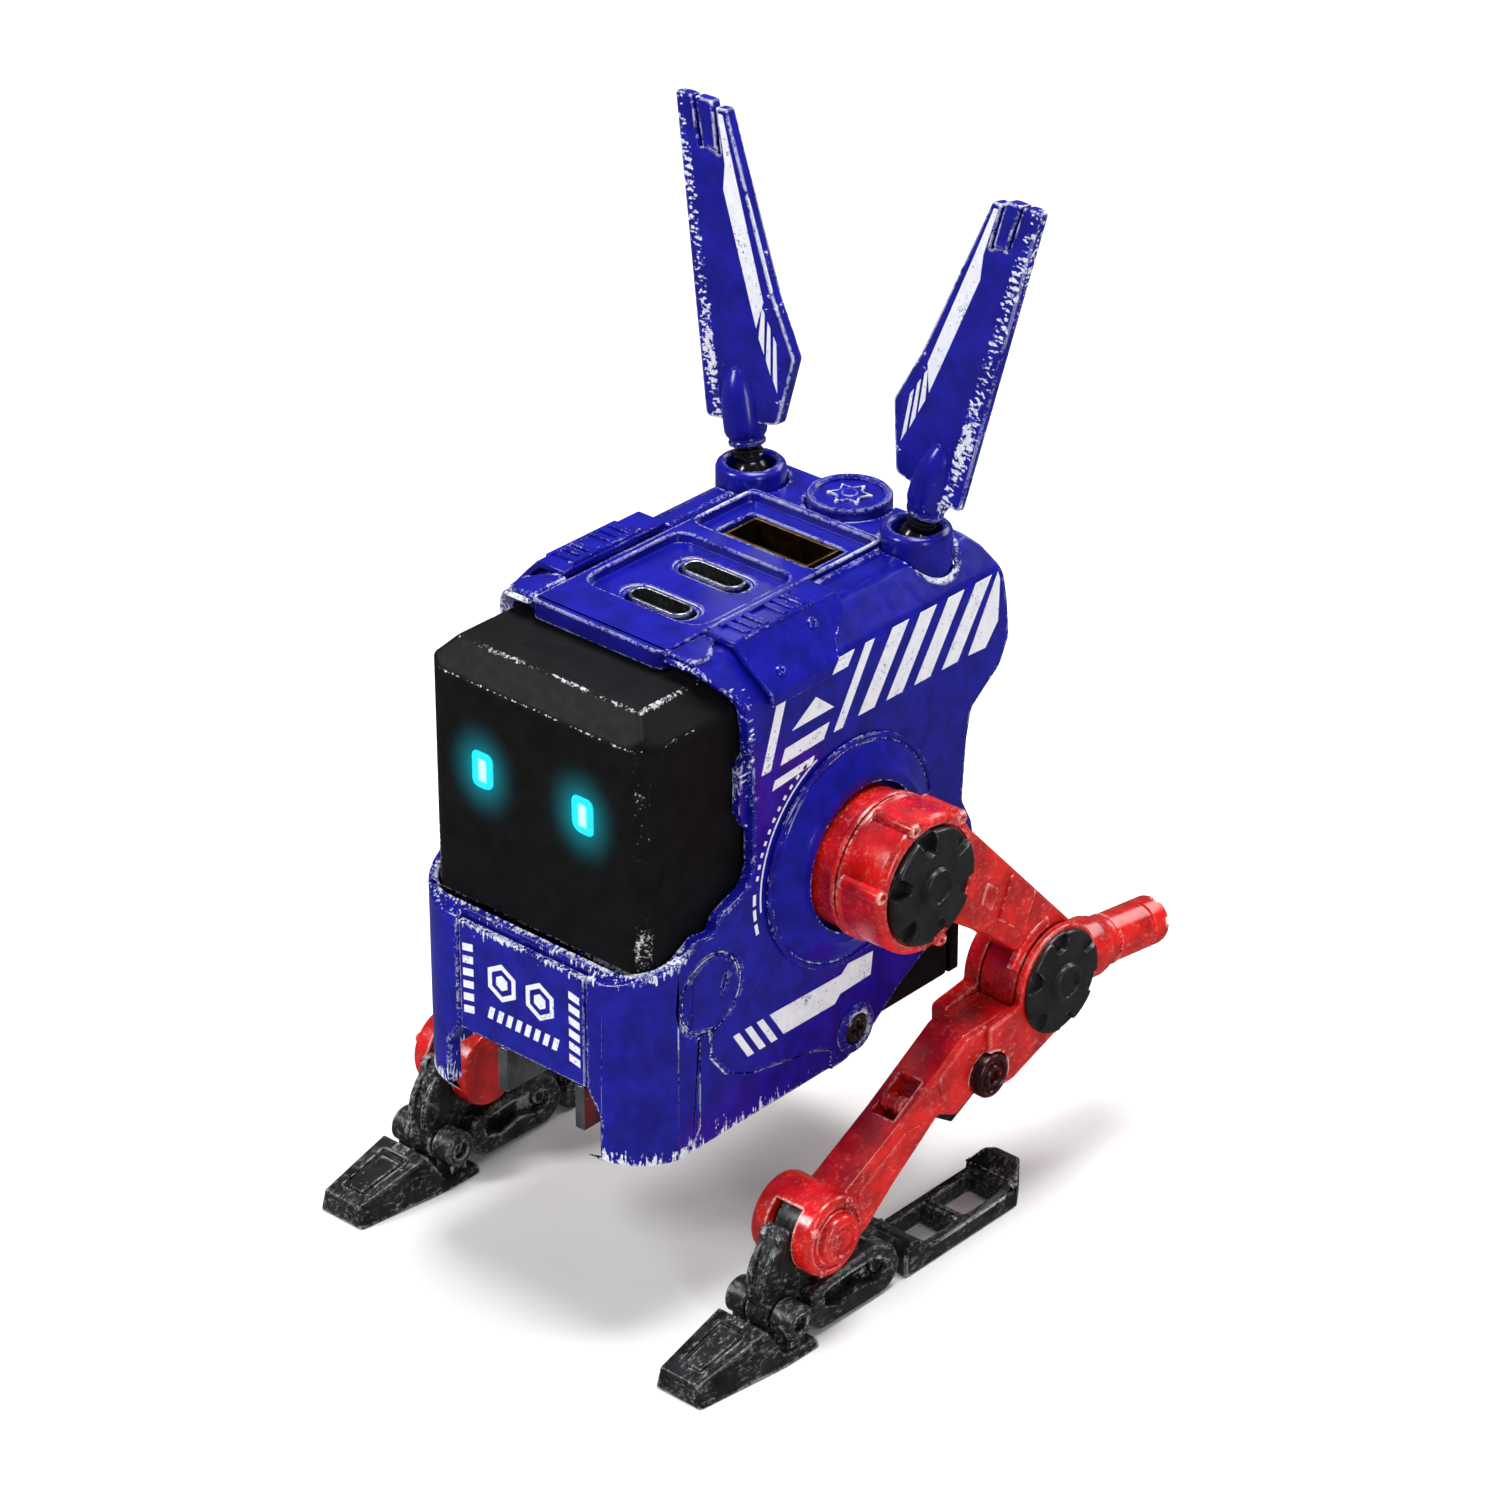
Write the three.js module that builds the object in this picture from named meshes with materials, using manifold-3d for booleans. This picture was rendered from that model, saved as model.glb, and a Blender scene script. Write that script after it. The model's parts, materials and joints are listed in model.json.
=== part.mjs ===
// Desk robot charger: a square-headed body in an armour shell, two posable
// legs with three-piece feet, two swivelling ears, three USB ports on top and
// a folding mains plug underneath.
//
// Frame in this file: millimetres, x = 0 is the body's middle plane, y = 0 the
// front face of the collar, z = 0 the ground. The group is centred at the end.

import * as THREE from 'three';
import { ConvexGeometry } from 'three/addons/geometries/ConvexGeometry.js';
import { mergeVertices } from 'three/addons/utils/BufferGeometryUtils.js';
import Module from 'manifold-3d';

const wasm = await Module();
wasm.setup();

// ---------------------------------------------------------------- dimensions

// Armour shell
const SHELL_HALF = 19.8;
const SHELL_WALL = 1.8;
const SHELL_CORNER = 8.2;
const SHELL_BOTTOM = 24.8;
const SHELL_TOP = 85.8;
const SHOULDER_Z = 81.0;
const SHOULDER_X = 15.0;
const CUTOUT_HALF = 12.35;
const PANEL_HALF = 10.35;
const PANEL_BOTTOM = 34.0;
const COLLAR_TOP = 48.9;
const COLLAR_WALL = 2.2;

// Black core behind the shell
const CORE_HALF = 17.6;
const CORE_FRONT = 2.55;
const CORE_REAR = 59.8;
const CORE_BOTTOM = 26.4;
const CORE_TOP = 83.5;
const CORE_CORNER = 3.75;
const CORE_WALL = 1.8;
const CORE_CHAMFER_X = 14.3;
const CORE_CHAMFER_Z = 79.9;

// Eyes
const EYE_X = 8.0;
const EYE_Z = 68.75;
const EYE_W = 3.5;
const EYE_H = 4.9;

// Ports on the top
const PORT_FRAME_TOP = 86.4;
const PORT_FRAME_HALF = 10.4;
const PORT_FRAME_Y = [13.6, 52.7];
const USB_C_Y = [24.8, 34.1];
const USB_C_SLOT = [10.4, 3.6];
const USB_A_Y = 46.15;
const USB_A_SLOT = [15.2, 6.3];
const USB_A_SHELL = [13.4, 5.9];

// Folding plug
const PLUG_Y = 21.0;
const PLUG_Z = 28.15;
const BLADE_X = 6.35;
const BLADE = [1.5, 17.6, 6.1];

// Leg joints (y, z) and the middle of the leg (x)
const LEG_X = 28.3;
const HIP = [36.0, 54.4];
const KNEE = [61.2, 29.9];
const ANKLE = [19.0, 13.5];
const TOE = [12.2, 4.7];
const HEEL = [28.6, 3.9];
const LINK = [25.6, 31.0];
const WASHER = [48.4, 22.1];
const CLEAR = 0.3;

// Ears: centre of the ball, and the direction of the stem
const EAR_BALL = [13.2, 55.5, 86.3];
const EAR_AXIS = new THREE.Vector3(0.238, 0.093, 0.967).normalize();
const EAR_TWIST = -0.125;
const SOCKET_R = 4.4;
const SOCKET_TOP = 88.2;

// Medallion and side details
const MEDALLION = [58.6, 5.3];
const HATCH = [11.5, 45.5, 5.0];
const SIDE_SCREW = [37.5, 28.8, 1.9];

const FINE = 32;
const ROUND = 20;
const SMALL = 12;

// ----------------------------------------------------------------- materials

const finish = (color, roughness, metalness) =>
  new THREE.MeshStandardMaterial({ color, roughness, metalness });
const looks = {
  blue: () => finish(0x2a1fa8, 0.28, 0.35),
  red: () => finish(0xc21a16, 0.3, 0.3),
  black: () => finish(0x141416, 0.55, 0.1),
  gunmetal: () => finish(0x26272a, 0.42, 0.7),
  cap: () => finish(0x2a292c, 0.4, 0.2),
  steel: () => finish(0xb9bcc0, 0.28, 1.0),
  brass: () => finish(0xc49a45, 0.3, 1.0),
  light: () => finish(0x19d9f2, 0.3, 0.0),
  board: () => finish(0x14522e, 0.5, 0.1),
  part: () => finish(0x30363c, 0.5, 0.1),
  copper: () => finish(0xb4622f, 0.35, 1.0),
  plastic: () => finish(0x0d0d0e, 0.5, 0.0),
};

// ------------------------------------------------------------------- solids

function solid(geometry) {
  const bare = geometry.clone();
  bare.deleteAttribute('normal');
  bare.deleteAttribute('uv');
  const merged = mergeVertices(bare, 1e-5);
  return new wasm.Manifold(new wasm.Mesh({
    numProp: 3,
    vertProperties: new Float32Array(merged.attributes.position.array),
    triVerts: new Uint32Array(merged.index.array),
  }));
}

function toGeometry(body, mirrored = false) {
  const mesh = body.getMesh();
  const points = new Float32Array(mesh.vertProperties);
  const faces = new Uint32Array(mesh.triVerts);
  if (mirrored) {
    for (let i = 0; i < points.length; i += 3) points[i] = -points[i];
    for (let i = 0; i < faces.length; i += 3) {
      [faces[i + 1], faces[i + 2]] = [faces[i + 2], faces[i + 1]];
    }
  }
  const geometry = new THREE.BufferGeometry();
  geometry.setAttribute('position', new THREE.BufferAttribute(points, 3));
  geometry.setIndex(new THREE.BufferAttribute(faces, 1));
  geometry.computeVertexNormals();
  return geometry;
}

const mirror = (body) => solid(toGeometry(body, true));
const join = (...bodies) => bodies.reduce((all, body) => all.add(body));
const cut = (body, ...tools) => tools.reduce((left, tool) => left.subtract(tool), body);

function box(x, y, z) {
  const geometry = new THREE.BoxGeometry(x[1] - x[0], y[1] - y[0], z[1] - z[0]);
  geometry.translate((x[0] + x[1]) / 2, (y[0] + y[1]) / 2, (z[0] + z[1]) / 2);
  return solid(geometry);
}

function extrude(outline, depth) {
  const shape = new THREE.Shape(outline.map(([u, v]) => new THREE.Vector2(u, v)));
  return new THREE.ExtrudeGeometry(shape, { depth, bevelEnabled: false });
}

// Outline in (y, z), from x[0] to x[1]
function prismX(outline, x) {
  const geometry = extrude(outline, x[1] - x[0]);
  geometry.rotateX(Math.PI / 2);
  geometry.rotateZ(Math.PI / 2);
  geometry.translate(x[0], 0, 0);
  return solid(geometry);
}

// Outline in (x, z), from y[0] to y[1]
function prismY(outline, y) {
  const geometry = extrude(outline, y[1] - y[0]);
  geometry.rotateX(Math.PI / 2);
  geometry.translate(0, y[1], 0);
  return solid(geometry);
}

// Outline in (x, y), from z[0] to z[1]
function prismZ(outline, z) {
  const geometry = extrude(outline, z[1] - z[0]);
  geometry.translate(0, 0, z[0]);
  return solid(geometry);
}

// Rounded rectangle as an outline, each corner with its own radius
// (corner order: low-low, high-low, high-high, low-high)
function rounded(u, v, radii, steps = 6) {
  const [a, b] = [Math.min(...u), Math.max(...u)];
  const [c, d] = [Math.min(...v), Math.max(...v)];
  const corners = [[a, c, 1, 1, Math.PI], [b, c, -1, 1, -Math.PI / 2], [b, d, -1, -1, 0], [a, d, 1, -1, Math.PI / 2]];
  const points = [];
  corners.forEach(([pu, pv, su, sv, start], k) => {
    const r = radii[k];
    if (r === 0) {
      points.push([pu, pv]);
      return;
    }
    for (let i = 0; i <= steps; i += 1) {
      const t = start + (Math.PI / 2) * (i / steps);
      points.push([pu + su * r + r * Math.cos(t), pv + sv * r + r * Math.sin(t)]);
    }
  });
  return points;
}

// Solid of revolution about a line along X through (y, z); profile of [radius, x]
function turnX(profile, [y, z], segments = ROUND) {
  const points = profile.map(([r, x]) => new THREE.Vector2(r, x));
  const geometry = new THREE.LatheGeometry(points, segments);
  geometry.rotateZ(-Math.PI / 2);
  geometry.translate(0, y, z);
  return outward(geometry);
}

// Solid of revolution about a line along Z through (x, y); profile of [radius, z]
function turnZ(profile, [x, y], segments = ROUND) {
  const points = profile.map(([r, z]) => new THREE.Vector2(r, z));
  const geometry = new THREE.LatheGeometry(points, segments);
  geometry.rotateX(Math.PI / 2);
  geometry.translate(x, y, 0);
  return outward(geometry);
}

// A lathe's faces point in or out depending on its profile's direction
function outward(geometry) {
  const bare = geometry.clone();
  bare.deleteAttribute('normal');
  bare.deleteAttribute('uv');
  const merged = mergeVertices(bare, 1e-4);
  const p = merged.attributes.position;
  const faces = [];
  let volume = 0;
  const corner = [new THREE.Vector3(), new THREE.Vector3(), new THREE.Vector3()];
  for (let i = 0; i < merged.index.count; i += 3) {
    const ids = [0, 1, 2].map((k) => merged.index.getX(i + k));
    if (new Set(ids).size < 3) continue;
    ids.forEach((id, k) => corner[k].fromBufferAttribute(p, id));
    volume += corner[0].dot(corner[1].clone().cross(corner[2]));
    faces.push(ids);
  }
  const triVerts = faces.flatMap(([a, b, c]) => (volume < 0 ? [a, c, b] : [a, b, c]));
  return new wasm.Manifold(new wasm.Mesh({
    numProp: 3,
    vertProperties: new Float32Array(p.array),
    triVerts: new Uint32Array(triVerts),
  }));
}

const discX = (r, x, at, segments = ROUND) => turnX([[0, x[0]], [r, x[0]], [r, x[1]], [0, x[1]]], at, segments);
const discZ = (r, z, at, segments = ROUND) => turnZ([[0, z[0]], [r, z[0]], [r, z[1]], [0, z[1]]], at, segments);

function hull(points) {
  return solid(new ConvexGeometry(points.map(([x, y, z]) => new THREE.Vector3(x, y, z))));
}

// Point at a distance and an angle (degrees, from +Y towards +Z) from a centre
function polar([y, z], radius, degrees) {
  const t = THREE.MathUtils.degToRad(degrees);
  return [y + radius * Math.cos(t), z + radius * Math.sin(t)];
}

// -------------------------------------------------------------------- nodes

const group = new THREE.Group();

function add(name, body, look) {
  const mesh = new THREE.Mesh(toGeometry(body), looks[look]());
  mesh.name = name;
  group.add(mesh);
}

// The right-hand piece (+X) and its mirror image
function addPair(name, body, look) {
  add(`${name}_r`, body, look);
  const left = new THREE.Mesh(toGeometry(body, true), looks[look]());
  left.name = `${name}_l`;
  group.add(left);
}

// ---------------------------------------------------------------------- body

const sideOutline = [
  [0, SHELL_BOTTOM], [35.8, SHELL_BOTTOM], [39.6, 26.4], [45.8, 31.1], [51.5, 34.2],
  [60.0, 39.5], [59.7, 45.5], [59.1, 48.6], [57.2, 52.2], [57.8, 60.4], [58.6, 64.4],
  [61.0, 66.2], [63.8, 68.2], [65.5, 71.7], [65.0, 76.6], [64.0, 81.7], [63.2, 83.8],
  [61.3, SHELL_TOP], [13.6, SHELL_TOP], [17.8, SHOULDER_Z], [18.5, 73.9], [19.0, 68.4],
  [19.0, 59.0], [17.8, 56.8], [13.1, 55.1], [12.2, 53.2], [9.6, 53.7], [6.2, 51.9],
  [2.8, 50.8], [0, COLLAR_TOP],
];

const section = (half, low, chamferZ, chamferX, top) => [
  [-half, low], [half, low], [half, chamferZ], [chamferX, top], [-chamferX, top], [-half, chamferZ],
];

const innerSpace = prismZ(
  rounded([-SHELL_HALF + SHELL_WALL, SHELL_HALF - SHELL_WALL], [COLLAR_WALL, 80], [4.4, 4.4, 0, 0], 8),
  [10, SHELL_TOP - 1.9],
).intersect(prismY(section(18.0, 5, 80.2, 14.5, SHELL_TOP - 1.9), [-1, 81]));

const cutout = prismY([
  [-CUTOUT_HALF, 20], [CUTOUT_HALF, 20], [CUTOUT_HALF, PANEL_BOTTOM - 3],
  [PANEL_HALF, PANEL_BOTTOM], [-PANEL_HALF, PANEL_BOTTOM], [-CUTOUT_HALF, PANEL_BOTTOM - 3],
], [-1, 4]);

const [portY0, portY1] = PORT_FRAME_Y;
const earXY = EAR_BALL.slice(0, 2);
const earHole = discZ(SOCKET_R + 0.2, [78, 92], earXY);
const hipHole = discX(3.6, [14, 22], HIP, SMALL);
const screwHole = discX(SIDE_SCREW[2] + 0.2, [17, 22], SIDE_SCREW.slice(0, 2), SMALL);
const hatchGroove = turnX([
  [HATCH[2], 19.2], [HATCH[2] + 0.4, 19.2], [HATCH[2] + 0.4, 21], [HATCH[2], 21], [HATCH[2], 19.2],
], HATCH.slice(0, 2));
const sideCuts = [earHole, hipHole, screwHole, hatchGroove];

const armourShell = cut(
  prismX(sideOutline, [-SHELL_HALF, SHELL_HALF])
    .intersect(prismZ(
      rounded([-SHELL_HALF, SHELL_HALF], [0, 70], [SHELL_CORNER, SHELL_CORNER, 0, 0], 8),
      [20, 90],
    ))
    .intersect(prismY(section(SHELL_HALF, 20, SHOULDER_Z, SHOULDER_X, SHELL_TOP), [-1, 71])),
  innerSpace,
  cutout,
  box([-PANEL_HALF, PANEL_HALF], [-1, 1.2], [PANEL_BOTTOM - 1, COLLAR_TOP + 4]),
  box([-PORT_FRAME_HALF - 0.25, PORT_FRAME_HALF + 0.25], [10, portY1 + 0.25], [80, 90]),
  discZ(MEDALLION[1] + 0.2, [80, 90], [0, MEDALLION[0]]),
  ...sideCuts,
  ...sideCuts.map(mirror),
);
add('armour_shell', armourShell, 'blue');

add('front_panel', box([-PANEL_HALF + 0.2, PANEL_HALF - 0.2], [0, 0.9], [PANEL_BOTTOM, COLLAR_TOP]), 'blue');

const slot = ([w, h], y, z) => prismZ(
  rounded([-w / 2, w / 2], [y - h / 2, y + h / 2], Array(4).fill(h / 2 - 0.01), 5), z);
const portFrame = cut(
  prismZ(rounded([-PORT_FRAME_HALF, PORT_FRAME_HALF], PORT_FRAME_Y, [1.5, 1.5, 1, 1], 4), [83.9, PORT_FRAME_TOP]),
  prismZ(rounded([-9.3, 9.3], [20.8, 38.3], [2.5, 2.5, 2.5, 2.5], 5), [85.1, 90]),
  box([-10, 10], [41, 51.8], [85.1, 90]),
  ...USB_C_Y.map((y) => slot(USB_C_SLOT, y, [80, 90])),
  box([-USB_A_SLOT[0] / 2, USB_A_SLOT[0] / 2],
    [USB_A_Y - USB_A_SLOT[1] / 2, USB_A_Y + USB_A_SLOT[1] / 2], [80, 90]),
);
add('port_frame', portFrame, 'blue');

add('medallion', discZ(MEDALLION[1], [84.2, 87.0], [0, MEDALLION[0]], FINE), 'blue');

const bracket = prismY([
  [11.2, 86.1], [15.3, 86.1], [20.1, 81.3], [20.1, 79.6], [20.7, 79.6], [20.7, 81.6],
  [15.6, 86.9], [11.2, 86.9],
], [20.3, 38.0]);
addPair('shoulder_bracket', bracket, 'blue');

addPair('side_screw', discX(SIDE_SCREW[2], [18.3, 20.2], SIDE_SCREW.slice(0, 2), SMALL), 'black');

const hipFlange = turnX([[9.6, 20.0], [15.0, 20.0], [15.0, 20.5], [10.8, 22.2], [9.6, 22.2], [9.6, 20.0]], HIP, FINE);
addPair('hip_flange', hipFlange, 'blue');

const hipBase = turnX([[3.6, 20.0], [8.8, 20.0], [8.8, 25.3], [3.6, 25.3], [3.6, 20.0]], HIP, ROUND);
addPair('hip_base', hipBase, 'red');
const hipAxle = turnX([[0, 13.9], [5.0, 13.9], [5.0, 15.5], [3.2, 15.5], [3.2, 29.0], [0, 29.0]], HIP, SMALL);
addPair('hip_axle', hipAxle, 'steel');

const earSocket = cut(
  turnZ([[2.9, 79], [SOCKET_R, 79], [SOCKET_R, SOCKET_TOP], [2.9, SOCKET_TOP], [2.9, 79]], earXY),
  innerSpace,
);
addPair('ear_socket', earSocket, 'blue');

// ---------------------------------------------------------------------- core

const coreOuter = prismZ(
  rounded([-CORE_HALF, CORE_HALF], [CORE_FRONT, CORE_REAR], [CORE_CORNER, CORE_CORNER, 2, 2], 6),
  [CORE_BOTTOM, CORE_TOP],
)
  .intersect(prismY(section(CORE_HALF, 20, CORE_CHAMFER_Z, CORE_CHAMFER_X, CORE_TOP), [-1, 71]))
  .intersect(prismX([
    [8.5, CORE_BOTTOM], [70, CORE_BOTTOM], [70, CORE_TOP], [5.6, CORE_TOP],
    [CORE_FRONT, CORE_CHAMFER_Z], [CORE_FRONT, PANEL_BOTTOM],
  ], [-30, 30]));
const eyeOutline = (grow) => rounded(
  [EYE_X - EYE_W / 2 - grow, EYE_X + EYE_W / 2 + grow],
  [EYE_Z - EYE_H / 2 - grow, EYE_Z + EYE_H / 2 + grow],
  Array(4).fill(1 + grow), 4,
);
const eyeHole = prismY(eyeOutline(0.15), [0, 8]);
const coreSideHole = discX(3.6, [14, 22], HIP, SMALL);
const core = cut(
  coreOuter.intersect(box([-30, 30], [0, 57.6], [0, 90])),
  box([-CORE_HALF + CORE_WALL, CORE_HALF - CORE_WALL], [CORE_FRONT + 2, 58], [34.4, CORE_TOP - CORE_WALL]),
  box([-9.8, 9.8], [0, 25.6], [20, 32.4]),
  eyeHole, mirror(eyeHole),
  coreSideHole, mirror(coreSideHole),
  box([-5.5, 5.5], [22.4, 36.5], [80, 90]),
  box([-7.4, 7.4], [42.5, 49.8], [80, 90]),
);
add('core_housing', core, 'black');

const vents = [44, 49, 54, 59].map((z) => box([-9, 9], [50, 61], [z, z + 1.6]));
const rearCover = cut(
  coreOuter.intersect(box([-30, 30], [57.9, 70], [0, 90])),
  ...vents,
);
add('rear_cover', rearCover, 'black');

addPair('eye_light', prismY(eyeOutline(0), [CORE_FRONT + 0.05, 4.6]), 'light');

add('led_board', box([-13, 13], [5.2, 6.4], [62, 76]), 'board');
add('main_board', box([-14.6, 14.6], [10, 56], [38.0, 39.6]), 'board');
add('usb_board', box([-12.5, 12.5], [20, 52], [70.4, 71.8]), 'board');
add('transformer', box([-8, 8], [14, 28], [39.9, 52.5]), 'part');
add('bulk_capacitor', discZ(4.6, [39.9, 58], [7.5, 44], SMALL), 'part');
const choke = turnZ([[1.6, 39.9], [4.6, 39.9], [4.6, 44], [1.6, 44], [1.6, 39.9]], [-6.5, 38], SMALL);
add('choke_coil', choke, 'copper');

USB_C_Y.forEach((y, i) => {
  const shell = cut(slot([9.0, 3.3], y, [72.1, 85.3]), slot([8.3, 2.6], y, [73.0, 90]));
  add(`usb_c_shell_${i + 1}`, shell, 'steel');
});
const [aw, ah] = USB_A_SHELL;
const usbAShell = cut(
  box([-aw / 2, aw / 2], [USB_A_Y - ah / 2, USB_A_Y + ah / 2], [72.1, 85.0]),
  box([-aw / 2 + 0.4, aw / 2 - 0.4], [USB_A_Y - ah / 2 + 0.4, USB_A_Y + ah / 2 - 0.4], [72.8, 90]),
);
add('usb_a_shell', usbAShell, 'brass');
add('usb_a_tongue', box([-5.5, 5.5], [USB_A_Y - 2.2, USB_A_Y - 0.4], [73.1, 82.0]), 'plastic');

// ---------------------------------------------------------------------- plug

const plugCarrier = join(
  discX(3.2, [-9.2, 9.2], [PLUG_Y, PLUG_Z], ROUND),
  box([-9.2, 9.2], [PLUG_Y - 3.4, PLUG_Y], [PLUG_Z - 2.4, PLUG_Z + 2.4]),
);
const bladeAt = (x) => box(
  [x - BLADE[0] / 2, x + BLADE[0] / 2],
  [PLUG_Y - 3.7 - (BLADE[1] - 3.3), PLUG_Y - 3.7],
  [PLUG_Z - BLADE[2] / 2, PLUG_Z + BLADE[2] / 2],
);
add('plug_carrier', plugCarrier, 'plastic');
add('plug_blade_r', bladeAt(BLADE_X), 'steel');
add('plug_blade_l', bladeAt(-BLADE_X), 'steel');

// ---------------------------------------------------------------------- legs

const [linkIn, linkOut] = LINK;

const thigh = cut(
  join(
    turnX([[0, linkIn], [9.3, linkIn], [9.3, 26.2], [9.0, 26.4], [9.0, 31.6], [8.2, 32.4], [0, 32.4]], HIP, FINE),
    prismX([
      [38.5, 48.5], [42.7, 45.6], [49.6, 40.7], [56.1, 35.0], polar(KNEE, 5, 150),
      polar(KNEE, 7.2, 45), polar(HIP, 9, 45), polar(HIP, 8, 100),
    ], [linkIn, linkOut]),
    discX(7.2, [linkIn, linkOut], KNEE, FINE),
  ),
  discX(7.7, [31.6, 40], HIP, FINE),
  discX(3.5, [20, 29.4], HIP, SMALL),
  discX(2.3, [20, 40], KNEE, SMALL),
);
addPair('thigh', thigh, 'red');

const hipCap = turnX([[0, 31.9], [7.4, 31.9], [7.4, 33.0], [6.6, 33.5], [2.6, 33.5], [2.4, 34.2], [0, 34.2]], HIP, ROUND);
addPair('hip_cap', hipCap, 'cap');

const [tubeY, tubeZ] = KNEE;
const tubeProfile = [[0, 7.6], [3.9, 7.6], [3.9, 11.0], [3.3, 12.2], [3.2, 23.8], [0, 23.8]];
const tubeGeometry = new THREE.LatheGeometry(tubeProfile.map(([r, x]) => new THREE.Vector2(r, x)), 20);
tubeGeometry.rotateX(THREE.MathUtils.degToRad(-8));
tubeGeometry.translate(28.3, tubeY, tubeZ);
const kneeTube = outward(tubeGeometry);
addPair('knee_tube', kneeTube, 'red');

const shinOutline = [
  [56, 28.6], [52, 29.0], [44.8, 29.0], [38.3, 25.2], [37.0, 24.9], [35.0, 21.8], [33.0, 22.1],
  [22.5, 16.8], [19.5, 13.5], [24.0, 8.6], [26.8, 9.9], [31.7, 13.9], [40.0, 20.0], [43.3, 17.8],
  [48.0, 20.3], [52.7, 18.6], [59.0, 20.2], [60, 26],
];
const kneeCheek = (r, x) => join(
  discX(r, x, KNEE, FINE),
  prismX([[61, 22.5], [50, 19.5], [48, 28.8], [58, 30]], x),
);
const ankleSlot = join(
  discX(4.7, [26.2, 30.4], ANKLE, ROUND),
  prismX([
    ANKLE, polar(ANKLE, 9, 125), polar(ANKLE, 12, 180), polar(ANKLE, 12, 235), polar(ANKLE, 12, 290), polar(ANKLE, 9, 318),
  ], [26.2, 30.4]),
);
const shin = cut(
  join(
    prismX(shinOutline, [25.3, 31.2]),
    kneeCheek(7.0, [22.9, 25.3]),
    kneeCheek(7.4, [31.3, 32.4]),
    prismX([[58, 24], [50, 19.5], [48, 28.8], [54, 28]], [25.2, 31.4]),
    discX(5.3, [23.8, 33.0], ANKLE, FINE),
    discX(3.2, [32.8, 34.2], ANKLE, ROUND),
  ),
  discX(7.6, [25.3, 31.3], KNEE, FINE),
  ankleSlot,
  discX(3.2, [31.2, 40], WASHER, ROUND),
  discX(2.2, [20, 40], KNEE, SMALL),
  discX(1.6, [24.2, 32.6], ANKLE, SMALL),
);
addPair('shin', shin, 'red');

addPair('knee_cap', turnX([[0, 32.7], [6.8, 32.7], [6.8, 33.1], [6.2, 33.5], [2.4, 33.5], [2.2, 34.2], [0, 34.2]], KNEE, ROUND), 'cap');
addPair('knee_pin', discX(1.9, [23.0, 32.4], KNEE, SMALL), 'steel');
addPair('ankle_pin', discX(1.3, [24.4, 32.4], ANKLE, SMALL), 'steel');
addPair('shin_washer', turnX([[0, 31.5], [2.9, 31.5], [2.9, 32.6], [2.2, 33.0], [0, 33.0]], WASHER, 20), 'red');

const midfoot = cut(
  join(
    discX(4.2, [26.5, 30.1], ANKLE, ROUND),
    prismX([
      [12.6, 14.6], [14.0, 15.6], [16.4, 13.5], [19, 13.5], [20.5, 9.6], [17.5, 7.0], [14.4, 4.7],
      [10.2, 5.6], [9.8, 9.0], [11.2, 12.4],
    ], [26.5, 30.1]),
    discX(2.35, [26.6, 30.0], TOE, SMALL),
    prismX([
      [15.3, 3.4], [17.2, 0.6], [29.2, 0.3], [31.2, 1.6], [31.8, 3.6], [30.6, 6.2], [27.4, 7.7],
      [22.2, 7.6], [19, 7.4], [15.6, 6.6],
    ], [LEG_X - 4, LEG_X + 4]),
  ),
  discX(1.3, [20, 40], TOE, SMALL),
  discX(1.6, [20, 40], ANKLE, SMALL),
  discX(3.4, [26.4, 30.2], HEEL, ROUND),
  box([26.4, 30.2], [HEEL[0], 40], [0, 8]),
  discX(1.3, [25.1, 31.5], HEEL, SMALL),
);
addPair('midfoot', midfoot, 'gunmetal');

const toeBody = cut(
  join(
    hull([
      [LEG_X - 3.6, -4, 0], [LEG_X + 3.6, -4, 0], [LEG_X - 5.4, 9.2, 0], [LEG_X + 5.4, 9.2, 0],
      [LEG_X - 3.3, -3.7, 3.2], [LEG_X + 3.3, -3.7, 3.2], [LEG_X - 3.9, 7.6, 5.4], [LEG_X + 3.9, 7.6, 5.4],
      [LEG_X - 5.2, 9.2, 1.5], [LEG_X + 5.2, 9.2, 1.5],
    ]),
    hull([
      [LEG_X - 5.4, 8.6, 0], [LEG_X + 5.4, 8.6, 0], [LEG_X - 5.5, 15.3, 0], [LEG_X + 5.5, 15.3, 0],
      [LEG_X - 5.2, 8.6, 1.5], [LEG_X + 5.2, 8.6, 1.5], [LEG_X - 5.3, 15.0, 1.4], [LEG_X + 5.3, 15.0, 1.4],
    ]),
    discX(2.35, [23.1, 26.3], TOE, 20),
    discX(2.35, [30.3, 33.4], TOE, 20),
    box([23.4, 26.3], [11.2, 13.2], [1.0, 3.2]),
    box([30.3, 33.2], [11.2, 13.2], [1.0, 3.2]),
  ),
  discX(1.2, [20, 24.1], TOE, SMALL),
  discX(1.2, [32.4, 40], TOE, SMALL),
  discX(2.8, [26.2, 30.4], TOE, ROUND),
);
const toe = join(toeBody, discX(1.0, [24.0, 32.5], TOE, SMALL));
addPair('toe', toe, 'gunmetal');

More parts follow.
